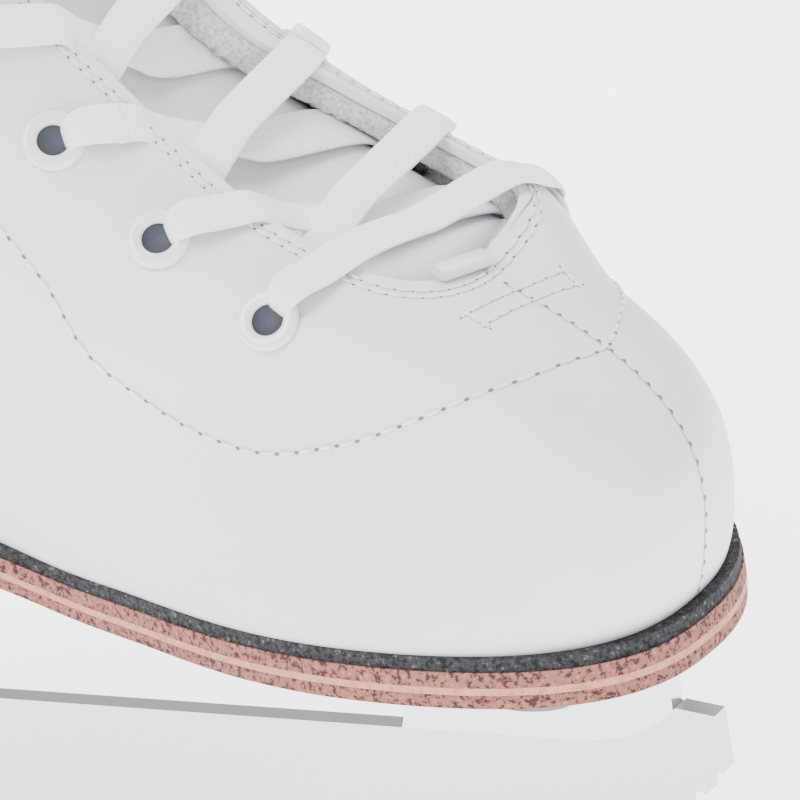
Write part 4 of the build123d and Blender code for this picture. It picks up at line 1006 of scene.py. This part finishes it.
# knot: a short wide wrap round a soft core
turns = np.linspace(0, 2 * math.pi, 41)
wrap = knot_at + np.stack([3.9 * np.cos(turns) * 0.75, 0.4 * np.sin(turns), 4.6 * np.sin(turns)], -1)
CORE_RINGS, CORE_SIDES = 15, 24
core = []
for t in np.linspace(0, math.pi, CORE_RINGS):
    for a in np.linspace(0, 2 * math.pi, CORE_SIDES, endpoint=False):
        core.append(knot_at + np.array([math.sin(t) ** 0.7 * math.cos(a) * 3.6, -math.cos(t) * 6.2,
                                        math.sin(t) ** 0.7 * math.sin(a) * 4.2]))
add_mesh("knot_core", np.array(core), grid_faces(CORE_RINGS, CORE_SIDES, wrap=True), lace_white, "white_lace",
         ["bow_knot"], flap=False)
ribbon("knot_wrap", wrap, 7.0, wrap - knot_at + np.array([1e-3, 0, 0]), thickness=1.1, flap=False)


# ---------------------------------------------------------------- finishes of the CAD nodes
def paint(material, *names):
    for name in names:
        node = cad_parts[name]
        node.data.materials.clear()
        node.data.materials.append(material)


paint(leather_white, "backstay")
paint(leather_collar, "collar_padding")
paint(board, "toe_box", "heel_counter", "insole_board")
paint(felt, "footbed")
paint(welt_black, "welt")
paint(sole_edge, "sole_top", "sole_bottom", "heel_base", "heel_lift_1", "heel_lift_2", "heel_lift_3")
paint(sole_band, "sole_mid")
paint(rubber, "heel_top_piece")
paint(screw_metal, "shank", "sole_plate_screws", "heel_plate_screws")
paint(hook_metal, "hooks_left", "hooks_right")
paint(chrome, "sole_plate", "heel_plate", "front_stanchion", "rear_stanchion")
paint(runner_metal, "runner")

# folded tab at the throat, under the bar
tab_dir = np.array([0.36, 0.93, -0.05])
tab_at, tab_n = snap([np.array([89.0, -8.0, 106.0])])
TAB_SIDES = 20
tab_shape = []
for x in (-5.3, -4.9, 4.9, 5.3):
    shrink = 0.82 if abs(x) > 5 else 1.0
    for t in np.linspace(0, 2 * math.pi, TAB_SIDES, endpoint=False):
        c, d = math.cos(t), math.sin(t)
        tab_shape.append([x, 1.9 * shrink * math.copysign(abs(c) ** 0.5, c),
                          0.95 * shrink * math.copysign(abs(d) ** 0.6, d)])
tab_faces = grid_faces(4, TAB_SIDES, wrap=True)
tab_faces += [tuple(range(TAB_SIDES)), tuple(range(3 * TAB_SIDES, 4 * TAB_SIDES))[::-1]]
tab_mesh = place(np.array(tab_shape), tab_at[0] + tab_n[0] * 1.1, tab_dir, tab_n[0])
tab = add_mesh("throat_fold", tab_mesh, tab_faces, [tab_gloss, tab_edge], "tab_gloss", ["throat_tab"])
for polygon in tab.data.polygons:
    if len(polygon.vertices) > 4:
        polygon.material_index = 1
        polygon.use_smooth = False
paint(clear_tip, "aglet_left", "aglet_right")


# ---------------------------------------------------------------- stage
FLOOR_HALF, FLOOR_GLOW, WORLD_LIGHT, LIGHT_SIZE = 6.0, 2.6, 0.9, 1.2
LIGHT_AIM = Vector((0.05, 0, 0.1))


def make_floor():
    mesh = bpy.data.meshes.new("floor")
    corners = [(x * FLOOR_HALF, y * FLOOR_HALF, 0) for x, y in ((-1, -1), (1, -1), (1, 1), (-1, 1))]
    mesh.from_pydata(corners, [], [(0, 1, 2, 3)])
    floor = bpy.data.objects.new("floor", mesh)
    floor.location.z = float(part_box("runner")[0][2]) - 0.0005
    material, _, shader = new_material("floor_white", (0.93, 0.93, 0.94), 0.9)
    shader.inputs["Emission Color"].default_value = (1, 1, 1, 1)
    shader.inputs["Emission Strength"].default_value = FLOOR_GLOW
    shader.inputs["Specular IOR Level"].default_value = 0.1
    mesh.materials.append(material)
    bpy.context.scene.collection.objects.link(floor)


def area_light(name, at, power):
    data = bpy.data.lights.new(name, "AREA")
    data.shape, data.size, data.energy = "DISK", LIGHT_SIZE, power
    light = bpy.data.objects.new(name, data)
    light.location = at
    light.rotation_euler = (LIGHT_AIM - Vector(at)).to_track_quat("-Z", "Y").to_euler()
    bpy.context.scene.collection.objects.link(light)


make_floor()
area_light("key", (-0.5, -0.9, 1.5), 44.0)
area_light("fill", (1.3, -0.6, 0.7), 9.0)
area_light("top", (0.2, 0.9, 1.4), 22.0)
world = bpy.data.worlds.new("studio")
world.use_nodes = True
world.node_tree.nodes["Background"].inputs["Color"].default_value = (1, 1, 1, 1)
world.node_tree.nodes["Background"].inputs["Strength"].default_value = WORLD_LIGHT
bpy.context.scene.world = world
